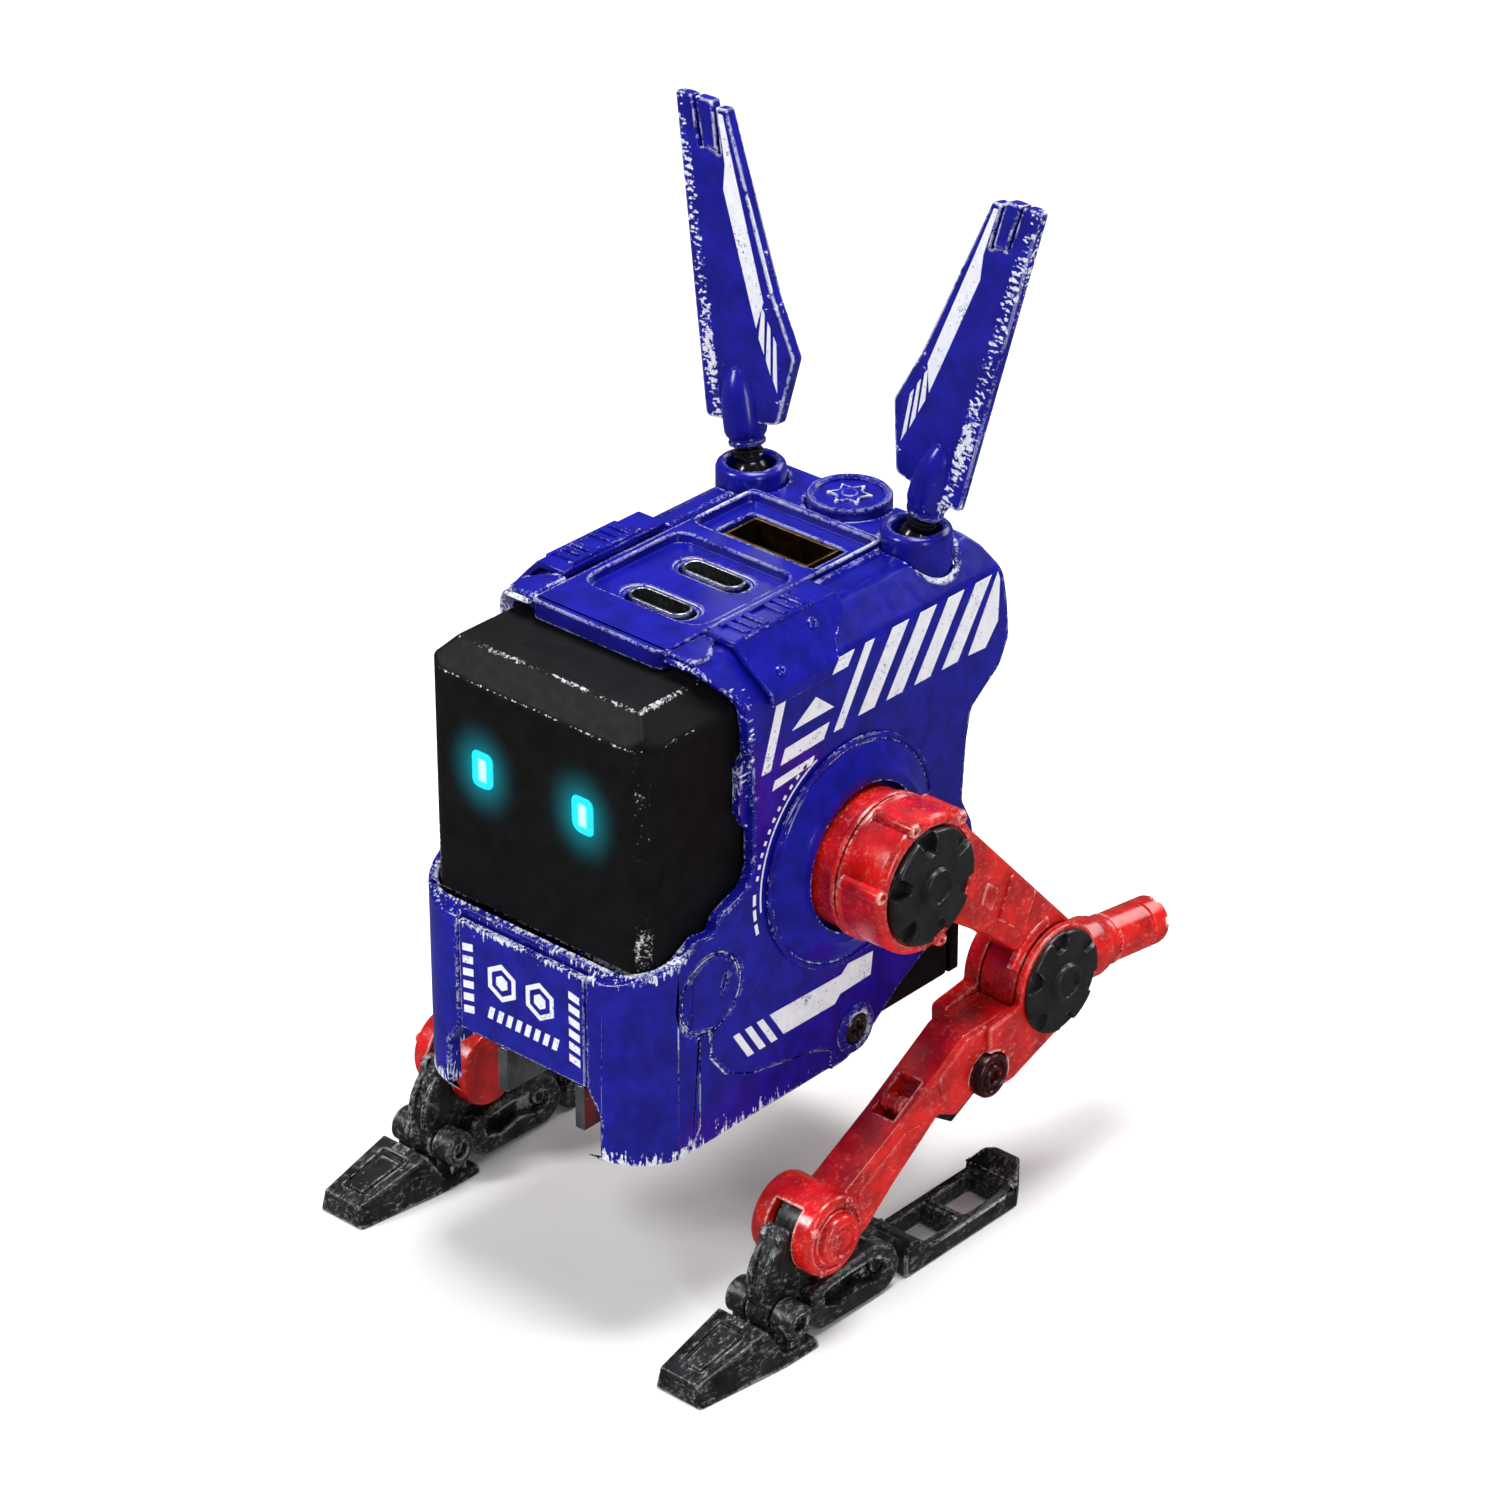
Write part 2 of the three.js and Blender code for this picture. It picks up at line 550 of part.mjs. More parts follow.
const heelRail = [
  [33.0, 0], [57.0, 0], [57.6, 1.2], [57.4, 4.9], [55.8, 5.1], [53.8, 3.3], [51.6, 2.6], [37.8, 2.6],
  [35.6, 4.4], [34.0, 4.8], [32.8, 3.0],
];
const heel = join(
  cut(
    prismX(heelRail, [LEG_X - 4, LEG_X + 4]),
    box([LEG_X - 2.6, LEG_X + 2.6], [36.2, 43.2], [-1, 9]),
    box([LEG_X - 2.6, LEG_X + 2.6], [45.6, 52.8], [-1, 9]),
    discX(4.3, [20, 40], HEEL, ROUND),
  ),
  discX(3.0, [26.7, 29.9], HEEL, ROUND),
  box([26.7, 29.9], [HEEL[0], 34.5], [1.6, 4.4]),
  discX(1.0, [25.4, 31.2], HEEL, SMALL),
);
addPair('heel', heel, 'gunmetal');

// ---------------------------------------------------------------------- ears

// Ear frame: u across the blade, v through its thickness, w up the stem
const earW = EAR_AXIS.clone();
const earU = new THREE.Vector3(1, EAR_TWIST, 0);
earU.addScaledVector(earW, -earU.dot(earW)).normalize();
const earV = new THREE.Vector3().crossVectors(earW, earU);
const earFrame = new THREE.Matrix4().makeBasis(earU, earV, earW).setPosition(...EAR_BALL);

function inEarFrame(body) {
  const geometry = toGeometry(body);
  geometry.applyMatrix4(earFrame);
  return solid(geometry);
}

const ball = Array.from({ length: 9 }, (_, i) => {
  const t = -Math.PI / 2 + (Math.PI * 0.78 * i) / 8;
  return [i === 0 ? 0 : 2.4 * Math.cos(t), 2.4 * Math.sin(t)];
});
const earStem = turnZ([...ball, [1.8, 2.1], [1.8, 3.2], [1.2, 3.3], [1.2, 6.6], [0, 6.6]], [0, 0], 20);
addPair('ear_stem', inEarFrame(earStem), 'cap');

const bladeOutline = [
  [-5.4, 6.3], [5.4, 7.2], [3.9, 47.6], [-3.2, 45.6], [-6.9, 22.5], [-9.0, 14.5],
];
const earBlade = cut(
  join(
    prismY(bladeOutline, [-0.95, 0.95]),
    turnZ([[0, 3.6], [2.2, 3.6], [2.7, 4.6], [2.7, 8.0], [2.2, 10.8], [1.2, 13.2], [0, 14.2]], [0, 0], 20),
  ),
  discZ(1.5, [0, 7.0], [0, 0], SMALL),
);
addPair('ear_blade', inEarFrame(earBlade), 'blue');

// -------------------------------------------------------------------- centre

const bounds = new THREE.Box3().setFromObject(group);
const middle = bounds.getCenter(new THREE.Vector3());
group.position.set(0, -middle.y, -bounds.min.z);

export default group;
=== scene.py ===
# Walking humanoid robot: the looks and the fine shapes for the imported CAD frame.
# Lengths in this script are millimetres in the drawing's frame (x = 0 middle
# plane, y = 0 collar front, z = 0 ground); pt() turns them into the row frame.

import json
import math
import bpy
import bmesh
from mathutils import Matrix, Vector

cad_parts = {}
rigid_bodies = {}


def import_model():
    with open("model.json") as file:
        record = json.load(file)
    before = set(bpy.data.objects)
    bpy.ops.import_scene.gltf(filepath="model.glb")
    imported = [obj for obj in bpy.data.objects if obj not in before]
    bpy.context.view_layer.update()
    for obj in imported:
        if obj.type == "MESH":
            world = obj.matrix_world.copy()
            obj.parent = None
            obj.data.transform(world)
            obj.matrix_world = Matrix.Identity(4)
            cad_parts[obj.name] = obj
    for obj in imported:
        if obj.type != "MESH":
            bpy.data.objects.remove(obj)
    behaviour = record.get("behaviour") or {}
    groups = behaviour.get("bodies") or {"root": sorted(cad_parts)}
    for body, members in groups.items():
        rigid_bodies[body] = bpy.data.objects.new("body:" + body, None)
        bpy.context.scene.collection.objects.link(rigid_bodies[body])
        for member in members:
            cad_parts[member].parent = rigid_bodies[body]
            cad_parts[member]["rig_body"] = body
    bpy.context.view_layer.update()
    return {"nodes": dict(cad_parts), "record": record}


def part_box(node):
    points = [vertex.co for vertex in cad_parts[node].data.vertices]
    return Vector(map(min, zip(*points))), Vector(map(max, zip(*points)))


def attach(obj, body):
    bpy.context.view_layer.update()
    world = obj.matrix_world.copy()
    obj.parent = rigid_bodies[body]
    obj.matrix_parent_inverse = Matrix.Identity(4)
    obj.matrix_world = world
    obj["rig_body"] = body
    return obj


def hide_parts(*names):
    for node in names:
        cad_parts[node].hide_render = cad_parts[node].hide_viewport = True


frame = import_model()
MM = 0.001
COLLAR_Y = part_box("armour_shell")[0].y / MM


def pt(x, y, z):
    return Vector((x * MM, (y + COLLAR_Y) * MM, z * MM))


# The head's half width, front face, top, and the height where its top chamfer starts.
HEAD_SIDE, HEAD_FRONT, HEAD_TOP, CHAMFER_LOW = 17.6, 2.55, 83.5, 79.9


# ------------------------------------------------------------------ materials


class Net:
    """A node material in the row frame: patterns follow the piece in every pose."""

    def __init__(self, name, own_frame=None):
        self.mat = bpy.data.materials.new(name)
        self.mat.use_nodes = True
        self.tree = self.mat.node_tree
        self.shader = self.tree.nodes["Principled BSDF"]
        if own_frame:
            self.place = self.add("ShaderNodeAttribute", attribute_name=own_frame).outputs["Vector"]
            return
        scale = self.add("ShaderNodeVectorMath", operation="SCALE")
        self.tree.links.new(self.add("ShaderNodeTexCoord").outputs["Object"], scale.inputs[0])
        scale.inputs["Scale"].default_value = 1000
        shift = self.add("ShaderNodeVectorMath", operation="SUBTRACT")
        self.tree.links.new(scale.outputs[0], shift.inputs[0])
        shift.inputs[1].default_value = (0, COLLAR_Y, 0)
        self.place = shift.outputs[0]

    def add(self, kind, **settings):
        node = self.tree.nodes.new(kind)
        for key, value in settings.items():
            setattr(node, key, value)
        return node

    def put(self, socket, value):
        if isinstance(value, bpy.types.NodeSocket):
            self.tree.links.new(value, socket)
        elif value is not None:
            socket.default_value = value

    def set(self, **values):
        for key, value in values.items():
            self.put(self.shader.inputs[key.replace("_", " ")], value)
        return self

    def noise(self, scale, detail=3.0, rough=0.55, stretch=None, distortion=0.0):
        """Noise with about `scale` features to a millimetre."""
        node = self.add("ShaderNodeTexNoise")
        node.inputs["Scale"].default_value = scale
        node.inputs["Detail"].default_value = detail
        node.inputs["Roughness"].default_value = rough
        node.inputs["Distortion"].default_value = distortion
        place = self.place
        if stretch:
            mapping = self.add("ShaderNodeMapping")
            mapping.inputs["Scale"].default_value = stretch
            self.tree.links.new(self.place, mapping.inputs["Vector"])
            place = mapping.outputs[0]
        self.tree.links.new(place, node.inputs["Vector"])
        return node.outputs["Fac"]

    def maths(self, operation, a, b=None):
        node = self.add("ShaderNodeMath", operation=operation)
        self.put(node.inputs[0], a)
        self.put(node.inputs[1], b)
        return node.outputs[0]

    def times(self, a, b):
        return self.maths("MULTIPLY", a, b)

    def plus(self, a, b):
        return self.maths("ADD", a, b)

    def minus(self, a, b):
        return self.maths("SUBTRACT", a, b)

    def most(self, a, b):
        return self.maths("MAXIMUM", a, b)

    def size(self, a):
        return self.maths("ABSOLUTE", a)

    def span(self, value, low, high, to_low=0.0, to_high=1.0, kind="SMOOTHSTEP"):
        node = self.add("ShaderNodeMapRange", clamp=True)
        node.interpolation_type = kind
        for key, v in zip(("Value", "From Min", "From Max", "To Min", "To Max"),
                          (value, low, high, to_low, to_high)):
            self.put(node.inputs[key], v)
        return node.outputs["Result"]

    def ramp(self, value, low, high, to_low=0.0, to_high=1.0):
        return self.span(value, low, high, to_low, to_high, "LINEAR")

    def mix(self, share, a, b):
        node = self.add("ShaderNodeMix", data_type="RGBA")
        self.put(node.inputs["Factor"], share)
        self.put(node.inputs["A"], a)
        self.put(node.inputs["B"], b)
        return node.outputs["Result"]

    def axis(self, name):
        node = self.add("ShaderNodeSeparateXYZ")
        self.tree.links.new(self.place, node.inputs[0])
        return node.outputs[name]

    def edge(self, reach, samples=6):
        """1 on outer edges, falling to 0 about `reach` mm away from them."""
        node = self.add("ShaderNodeAmbientOcclusion", inside=True, only_local=True, samples=samples)
        node.inputs["Distance"].default_value = reach * MM
        return self.ramp(node.outputs["AO"], 0.62, 0.985, 1.0, 0.0)

    def bump(self, height, strength, distance):
        node = self.add("ShaderNodeBump")
        node.inputs["Strength"].default_value = strength
        node.inputs["Distance"].default_value = distance * MM
        self.tree.links.new(height, node.inputs["Height"])
        self.put(self.shader.inputs["Normal"], node.outputs["Normal"])
        return self


def colour(r, g, b):
    """An sRGB colour, 0 to 255, as linear RGBA."""
    parts = [(c / 255 / 12.92) if c <= 10 else ((c / 255 + 0.055) / 1.055) ** 2.4 for c in (r, g, b)]
    return (*parts, 1.0)


paints = {}


def worn_paint(
    name, paint, deep, worn, reach, amount, roughness, worn_rough=0.5, metallic=0.0, specular=0.36,
    grain=0.1, extra=None, own_frame=None, scuff=0.0
):
    """Paint with depth and fine grain, rubbed through to a pale layer in brush strokes along edges.
    reach: how far wear goes from an edge, in mm. amount: more or less of it. extra: further masks.
    The finished paint goes into `paints` under its name."""
    net = Net(name, own_frame)
    upward = net.noise(2.6, 3.0, 0.6, (1, 1, 0.16))
    along = net.noise(2.6, 3.0, 0.6, (1, 0.16, 1))
    both = net.most(upward, along)
    patch = net.plus(net.times(net.noise(0.16, 2.0), 1.1), net.times(net.noise(1.3, 4.0, 0.7), 0.9))
    bare_from, bare_by = 2.52, 2.6

    def chips(mask, strokes, share):
        total = net.plus(net.times(mask, 0.95), net.times(strokes, 1.7))
        total = net.plus(total, patch)
        return net.span(total, bare_from - share, bare_by - share)

    wear = chips(net.edge(reach), both, amount)
    for mask, strokes, share in (extra(net, upward, along) if extra else ()):
        wear = net.most(wear, chips(mask, strokes, share))
    if scuff:
        dry = net.span(net.noise(1.9, 6.0, 0.8, (1, 0.5, 1)), 0.5, 0.68, 0.0, scuff)
        wear = net.most(wear, net.times(dry, net.span(net.noise(0.22, 2.0), 0.36, 0.56)))
    fine = net.noise(5.5, 3.0, 0.6)
    tint = net.mix(net.span(net.noise(0.3, 4.0), 0.32, 0.68), deep, paint)
    pale = net.mix(
        net.span(net.noise(3.5, 3.0), 0.3, 0.68), tuple(c * 0.66 for c in worn[:3]) + (1.0,), worn
    )
    uneven = net.span(net.noise(0.8, 5.0, 0.7), 0.3, 0.75, -0.04, 0.07)
    rough = net.plus(net.ramp(wear, 0.0, 1.0, roughness, worn_rough), uneven)
    net.set(
        Base_Color=net.mix(wear, tint, pale), Roughness=rough, Metallic=metallic,
        Specular_IOR_Level=specular
    )
    height = net.plus(net.times(wear, -0.7), net.times(fine, grain))
    net.bump(height, 0.3, 0.07)
    paints[name] = net


BLUE = colour(20, 21, 146)
BLUE_DEEP = colour(13, 14, 118)
RED = colour(212, 22, 18)
RED_DEEP = colour(160, 10, 10)
WHITE = colour(228, 230, 242)


def shell_wear(net, upward, along):
    """Long strokes up from the bottom edge, down from the collar and back from the side opening."""
    y, z = net.axis("Y"), net.axis("Z")
    low = net.ramp(z, 24.6, 30.4, 0.95, 0.0)
    low = net.times(low, net.span(y, 4, 40, 1.0, 0.55))
    rim = net.minus(net.plus(net.times(y, 0.4), 49.0), z)
    collar = net.times(net.ramp(rim, 0.0, 3.6, 0.95, 0.0), net.span(rim, -1.2, -0.4))
    collar = net.times(collar, net.span(y, 9.0, 12.5, 1.0, 0.0))
    jamb = net.ramp(net.minus(y, 18.6), 0.0, 2.9, 0.9, 0.0)
    jamb = net.times(jamb, net.span(z, 56, 58))
    jamb = net.times(jamb, net.span(z, 83, 84.5, 1.0, 0.3))
    return ((low, upward, -0.08), (collar, upward, -0.38), (jamb, along, -0.36))


def ear_wear(net, upward, along):
    """In the ear's own frame: strokes over the outer bevel and a rubbed patch by the bulb."""
    u, w = net.axis("X"), net.axis("Z")
    bevel = net.times(net.span(u, 1.5, 3.0, 0.0, 0.85), net.span(u, 3.6, 5.4, 1.0, 0.45))
    inner = net.span(u, -6.4, -3.6, 0.55, 0.0)
    foot = net.times(net.span(w, 8, 22, 0.6, 0.0), net.span(u, -4, 1, 0.3, 1.0))
    slant = net.noise(2.6, 3.0, 0.6, (0.35, 1, 0.8))
    return ((bevel, slant, -0.12), (inner, slant, -0.16), (foot, upward, -0.16))


def head_wear(net, upward, along):
    """Specks along the two edges of the top chamfer and down the front corners."""
    x, y, z = net.size(net.axis("X")), net.axis("Y"), net.axis("Z")
    specks = net.noise(2.4, 5.0, 0.8)
    lower = net.ramp(net.size(net.minus(z, CHAMFER_LOW)), 0.0, 0.7, 1.0, 0.0)
    rim = net.most(net.span(y, 5.6, 6.5, 1.0, 0.0), net.span(x, 13.4, 14.3))
    upper = net.times(net.span(z, 82.5, 83.3), rim)
    corner = net.times(net.span(net.minus(x, y), 12.0, 12.8), net.span(z, 80, 81, 1.0, 0.0))
    return ((lower, along, -0.4), (upper, specks, -0.36), (corner, specks, -0.58))


def panel_wear(net, upward, along):
    """Strokes down from the front panel's top edge."""
    return ((net.ramp(net.axis("Z"), 46.2, 48.9, 0.0, 0.9), upward, -0.14),)


worn_paint("blue_paint", BLUE, BLUE_DEEP, WHITE, 0.9, -0.3, 0.19, extra=shell_wear)
worn_paint("blue_fine", BLUE, BLUE_DEEP, WHITE, 0.5, -0.12, 0.19)
worn_paint("blue_clean", BLUE, BLUE_DEEP, WHITE, 0.3, -0.4, 0.13)
worn_paint("blue_thin", BLUE, BLUE_DEEP, WHITE, 0.36, -0.14, 0.21, extra=panel_wear)
worn_paint("blue_ear", BLUE, BLUE_DEEP, WHITE, 0.5, -0.1, 0.2, extra=ear_wear, own_frame="ear")
worn_paint("red_paint", RED, RED_DEEP, colour(248, 180, 172), 0.55, -0.22, 0.2, specular=0.6, scuff=0.28)
worn_paint("dark_red", colour(64, 8, 10), colour(22, 8, 10), colour(150, 60, 60), 0.4, -0.3, 0.25)
worn_paint(
    "black_shell", colour(17, 17, 19), colour(11, 11, 12), colour(205, 208, 212), 0.5, -1.2, 0.55,
    specular=0.14, grain=0.25, extra=head_wear
)
worn_paint(
    "black_cap", colour(32, 30, 33), colour(20, 19, 22), colour(120, 120, 124), 0.3, -0.35, 0.3,
    specular=0.45
)
worn_paint("black_gloss", colour(14, 14, 16), colour(8, 8, 10), colour(90, 92, 96), 0.3, -0.4, 0.13)
worn_paint(
    "foot_metal", colour(42, 43, 45), colour(18, 19, 20), colour(196, 196, 198), 0.7, -0.26, 0.34, 0.4,
    metallic=0.3, scuff=0.7
)
worn_paint(
    "bright_steel", colour(190, 192, 196), colour(150, 152, 158), colour(225, 226, 230), 0.3, -0.3, 0.24,
    0.3, metallic=1.0
)
worn_paint(
    "gold_contact", colour(128, 98, 52), colour(84, 60, 30), colour(226, 200, 140), 0.25, -0.3, 0.3, 0.35,
    metallic=1.0
)
worn_paint("circuit_board", colour(24, 88, 50), colour(14, 62, 34), colour(120, 150, 110), 0.3, -0.4, 0.42)
worn_paint("component", colour(52, 58, 66), colour(34, 38, 44), colour(120, 124, 130), 0.3, -0.4, 0.45)
worn_paint(
    "copper_wire", colour(190, 104, 52), colour(146, 72, 32), colour(228, 160, 110), 0.3, -0.4, 0.32, 0.35,
    metallic=1.0
)
worn_paint("black_plastic", colour(18, 18, 20), colour(10, 10, 11), colour(84, 84, 88), 0.3, -0.4, 0.4)
looks = {name: net.mat for name, net in paints.items()}

EYE_MIDDLE = (8.0, 68.75)


def eye_distance(net, tall):
    """Distance in mm from the nearer eye's middle, seen from the front."""
    x = net.minus(net.size(net.axis("X")), EYE_MIDDLE[0])
    z = net.times(net.minus(net.axis("Z"), EYE_MIDDLE[1]), 1 / tall)
    return net.maths("SQRT", net.plus(net.times(x, x), net.times(z, z)))


# Painted glow: cyan light painted as emission on the black housing's front face around each eye, fading
# with distance from the eye; the housing itself is no lamp.
painted_glow_net = paints["black_shell"]
painted_glow_falloff = painted_glow_net.maths("POWER", painted_glow_net.ramp(eye_distance(painted_glow_net, 1.2), 1.4, 6.4, 1.0, 0.0), 2.4)
painted_glow_net.set(
    Emission_Color=colour(0, 200, 220),
    Emission_Strength=painted_glow_net.times(painted_glow_net.times(painted_glow_falloff, 0.42), painted_glow_net.span(painted_glow_net.axis("Y"), 2.7, 3.4, 1.0, 0.0))
)


def printed(name):
    """White print, rubbed through in specks to the blue paint under it."""
    net = Net(name)
    rubbed = net.span(
        net.plus(net.noise(2.6, 5.0, 0.75), net.span(net.noise(0.3, 2.0), 0.35, 0.7, -0.06, 0.05)), 0.6,
        0.64
    )
    white = net.mix(net.noise(0.8, 4.0), colour(206, 208, 218), colour(240, 240, 246))
    net.set(Base_Color=net.mix(rubbed, white, BLUE_DEEP), Roughness=net.span(rubbed, 0, 1, 0.45, 0.28))
    return net.bump(net.noise(4.0, 3.0), 0.2, 0.04).mat


looks["print_white"] = printed("print_white")


def glow(name):
    """A lamp behind a cyan lens, brightest in a narrow upright core."""
    net = Net(name)
    x = net.size(net.minus(net.size(net.axis("X")), EYE_MIDDLE[0]))
    z = net.size(net.minus(net.axis("Z"), EYE_MIDDLE[1]))
    core = net.times(net.span(x, 0.35, 0.8, 1.0, 0.0), net.span(z, 1.15, 1.65, 1.0, 0.0))
    lens = net.mix(net.noise(1.5, 3.0), colour(8, 168, 192), colour(16, 190, 212))
    net.set(
        Base_Color=lens, Roughness=net.span(net.noise(2.0), 0.3, 0.7, 0.22, 0.34), Specular_IOR_Level=0.3,
        Emission_Color=net.mix(core, lens, colour(236, 255, 255)), Emission_Strength=0.8
    )
    return net.mat


looks["eye_light"] = glow("eye_light")

# --------------------------------------------------------------------- meshes

slots = {s["node"]: s["material_slot"] for s in frame["record"]["subparts"]}
body_of = {n: o["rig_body"] for n, o in frame["nodes"].items()}


def mesh(points, faces):
    """A closed mesh from drawing-frame points in mm, with its faces turned outward."""
    bm = bmesh.new()
    made = [bm.verts.new(pt(*p)) for p in points]
    for face in faces:
        bm.faces.new([made[i] for i in face])
    bmesh.ops.recalc_face_normals(bm, faces=bm.faces)
    return to_mesh(bm)


def to_mesh(bm):
    data = bpy.data.meshes.new("part")
    bm.to_mesh(data)
    bm.free()
    return data


def on_axis(axis, u, v, along):
    """Outline point (u, v) at a distance along an axis: x takes (y, z), y (x, z), z (x, y)."""
    return {"x": (along, u, v), "y": (u, along, v), "z": (u, v, along)}[axis]


def prism(axis, outline, low, high, place=None):
    n = len(outline)
    points = [on_axis(axis, u, v, a) for a in (low, high) for u, v in outline]
    if place:
        points = [place(*p) for p in points]
    sides = [(i, (i + 1) % n, n + (i + 1) % n, n + i) for i in range(n)]
    return mesh(points, [tuple(range(n)), tuple(range(2 * n - 1, n - 1, -1)), *sides])


def box(x, y, z):
    return prism("z", [(x[0], y[0]), (x[1], y[0]), (x[1], y[1]), (x[0], y[1])], *z)


def turned(axis, profile, centre, steps=64, place=None):
    """A closed profile of (radius, along) turned about an axis through centre, an outline point."""
    points, rings = [], []
    for r, a in profile:
        if r < 1e-6:
            rings.append([len(points)] * steps)
            points.append(on_axis(axis, *centre, a))
            continue
        rings.append(list(range(len(points), len(points) + steps)))
        for k in range(steps):
            t = 2 * math.pi * k / steps
            points.append(on_axis(axis, centre[0] + r * math.cos(t), centre[1] + r * math.sin(t), a))
    if place:
        points = [place(*p) for p in points]
    faces = []
    n = len(rings)
    for i in range(n):
        one, two = rings[i], rings[(i + 1) % n]
        for k in range(steps):
            corner = [one[k], one[(k + 1) % steps], two[(k + 1) % steps], two[k]]
            face = [c for j, c in enumerate(corner) if c != corner[j - 1]]
            if len(set(face)) > 2:
                faces.append(tuple(face))
    return mesh(points, faces)


def disc(axis, r, low, high, centre, steps=48):
    return turned(axis, [(0, low), (r, low), (r, high), (0, high)], centre, steps)


def soften(outline, radius, steps=5):
    """The outline with its corners rounded, by one radius or by one for each corner."""
    n, made = len(outline), []
    for i, corner in enumerate(outline):
        r = radius[i] if isinstance(radius, (list, tuple)) else radius
        p, a, b = Vector(corner), Vector(outline[i - 1]), Vector(outline[(i + 1) % n])
        ua, ub = (a - p).normalized(), (b - p).normalized()
        half = ua.angle(ub) / 2
        if r <= 0 or half > 1.55:
            made.append(tuple(p))
            continue
        back = min(r / math.tan(half), 0.48 * (a - p).length, 0.48 * (b - p).length)
        for k in range(steps + 1):
            t = k / steps
            q = p + ua * back * (1 - t) ** 2 + ub * back * t ** 2
            made.append(tuple(q))
    return made


def pill(centre, length, radius, tilt=0.0, steps=8):
    """A slot's outline: two half circles `length` apart, tilted in degrees."""
    made, c, s = [], math.cos(math.radians(tilt)), math.sin(math.radians(tilt))
    for side in (1, -1):
        for k in range(steps + 1):
            t = -math.pi / 2 + math.pi * k / steps + (0 if side > 0 else math.pi)
            u, v = side * length / 2 + radius * math.cos(t), radius * math.sin(t)
            made.append((centre[0] + u * c - v * s, centre[1] + u * s + v * c))
    return made


def polar(centre, r, degrees):
    t = math.radians(degrees)
    return centre[0] + r * math.cos(t), centre[1] + r * math.sin(t)


def tidy(data):
    """Merges flat faces and drops slivers, so that edges can be rounded cleanly."""
    bm = bmesh.new()
    bm.from_mesh(data)
    bmesh.ops.remove_doubles(bm, verts=bm.verts, dist=0.003 * MM)
    bmesh.ops.dissolve_limit(bm, angle_limit=math.radians(1.2), verts=bm.verts, edges=bm.edges)
    bmesh.ops.dissolve_degenerate(bm, dist=0.003 * MM, edges=bm.edges)
    return to_mesh(bm)


def evaluated(data, *settings):
    """The mesh after modifiers, each given as a type and its settings."""
    obj = bpy.data.objects.new("work", data)
    bpy.context.scene.collection.objects.link(obj)
    for kind, values in settings:
        modifier = obj.modifiers.new("m", kind)
        for key, value in values.items():
            setattr(modifier, key, value)
    bpy.context.view_layer.update()
    made = bpy.data.meshes.new_from_object(obj.evaluated_get(bpy.context.evaluated_depsgraph_get()))
    bpy.data.objects.remove(obj)
    return made


def closed(data):
    bm = bmesh.new()
    bm.from_mesh(data)
    whole = all(e.is_manifold for e in bm.edges)
    bm.free()
    return whole


def combine(operation, data, *others):
    for other in others:
        solver = "MANIFOLD" if closed(data) and closed(other) else "EXACT"
        tool = bpy.data.objects.new("tool", other)
        bpy.context.scene.collection.objects.link(tool)
        data = evaluated(data, ("BOOLEAN", {"operation": operation, "solver": solver, "object": tool}))
        bpy.data.objects.remove(tool)
    return data


def join(data, *others):
    return combine("UNION", data, *others)


def cut(data, *others):
    return combine("DIFFERENCE", data, *others)


def common(data, *others):
    return combine("INTERSECT", data, *others)


def bevelled(data, width, segments=3, angle=30.0):
    """The mesh with each edge sharper than `angle` rounded by `width` mm."""
    return evaluated(tidy(data), ("BEVEL", {
        "width": width * MM, "segments": segments, "limit_method": "ANGLE",
        "angle_limit": math.radians(angle), "use_clamp_overlap": False, "miter_outer": "MITER_ARC",
    }))


def mirrored(data):
    bm = bmesh.new()
    bm.from_mesh(data)
    bmesh.ops.scale(bm, vec=(-1, 1, 1), verts=bm.verts)
    bmesh.ops.reverse_faces(bm, faces=bm.faces)
    return to_mesh(bm)


def piece(name, data, body, look, nodes=(), crease=40.0):
    """Shades the mesh, gives it its finish and lets it ride, in place of any CAD nodes."""
    obj = bpy.data.objects.new(name, data)
    bpy.context.scene.collection.objects.link(obj)
    for poly in data.polygons:
        poly.use_smooth = True
    data.set_sharp_from_angle(angle=math.radians(crease))
    normals = obj.modifiers.new("normals", "WEIGHTED_NORMAL")
    normals.keep_sharp = True
    normals.weight = 70
    data.materials.clear()
    data.materials.append(looks[look])
    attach(obj, body)
    if nodes:
        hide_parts(*nodes)
    return obj


def stand_in(node, data, look=None):
    """data is shown for the CAD node, on its body."""
    return piece(node + "_skin", data, body_of[node], look or slots[node], [node])


def pair(node, data, look=None):
    """The same for a right-hand node and, mirrored, for its left-hand twin."""
    stand_in(node + "_r", data, look)
    stand_in(node + "_l", mirrored(data), look)


def trim(name, data, right_body, look):
    """A right-hand detail and its mirror image, each on its own body."""
    piece(name + "_r", data, right_body, look)
    left_body = right_body[:-2] + "_l" if right_body.endswith("_r") else right_body
    piece(name + "_l", mirrored(data), left_body, look)


def cad(node):
    """The CAD node's own mesh, to start from."""
    return frame["nodes"][node].data.copy()


for name, node in frame["nodes"].items():
    node.data.materials.clear()
    node.data.materials.append(looks[slots[name]])

# --------------------------------------------------------------- armour shell

HIP, KNEE, ANKLE = (36.0, 54.4), (61.2, 29.9), (19.0, 13.5)
TOE, HEEL, WASHER = (12.2, 4.7), (28.6, 3.9), (48.4, 22.1)
SCREW, HATCH, MEDAL = (37.5, 28.8), (11.5, 45.5), (0.0, 58.6)
EAR = (13.2, 55.5)
SIDE = 19.8
TOP = 85.8


def plan(half, front, rear, r, steps=14):
    """A plan outline with two rounded front corners."""
    turn = [
        (r * math.sin(k * math.pi / 2 / steps), r * math.cos(k * math.pi / 2 / steps))
        for k in range(steps + 1)
    ]
    right = [(half - r + a, front + r - b) for a, b in turn]
    return right + [(half, rear), (-half, rear)] + [(-x, y) for x, y in reversed(right)]


def section(half, low, chamfer_z, chamfer_x, top):
    return [
        (-half, low), (half, low), (half, chamfer_z), (chamfer_x, top), (-chamfer_x, top),
        (-half, chamfer_z)
    ]


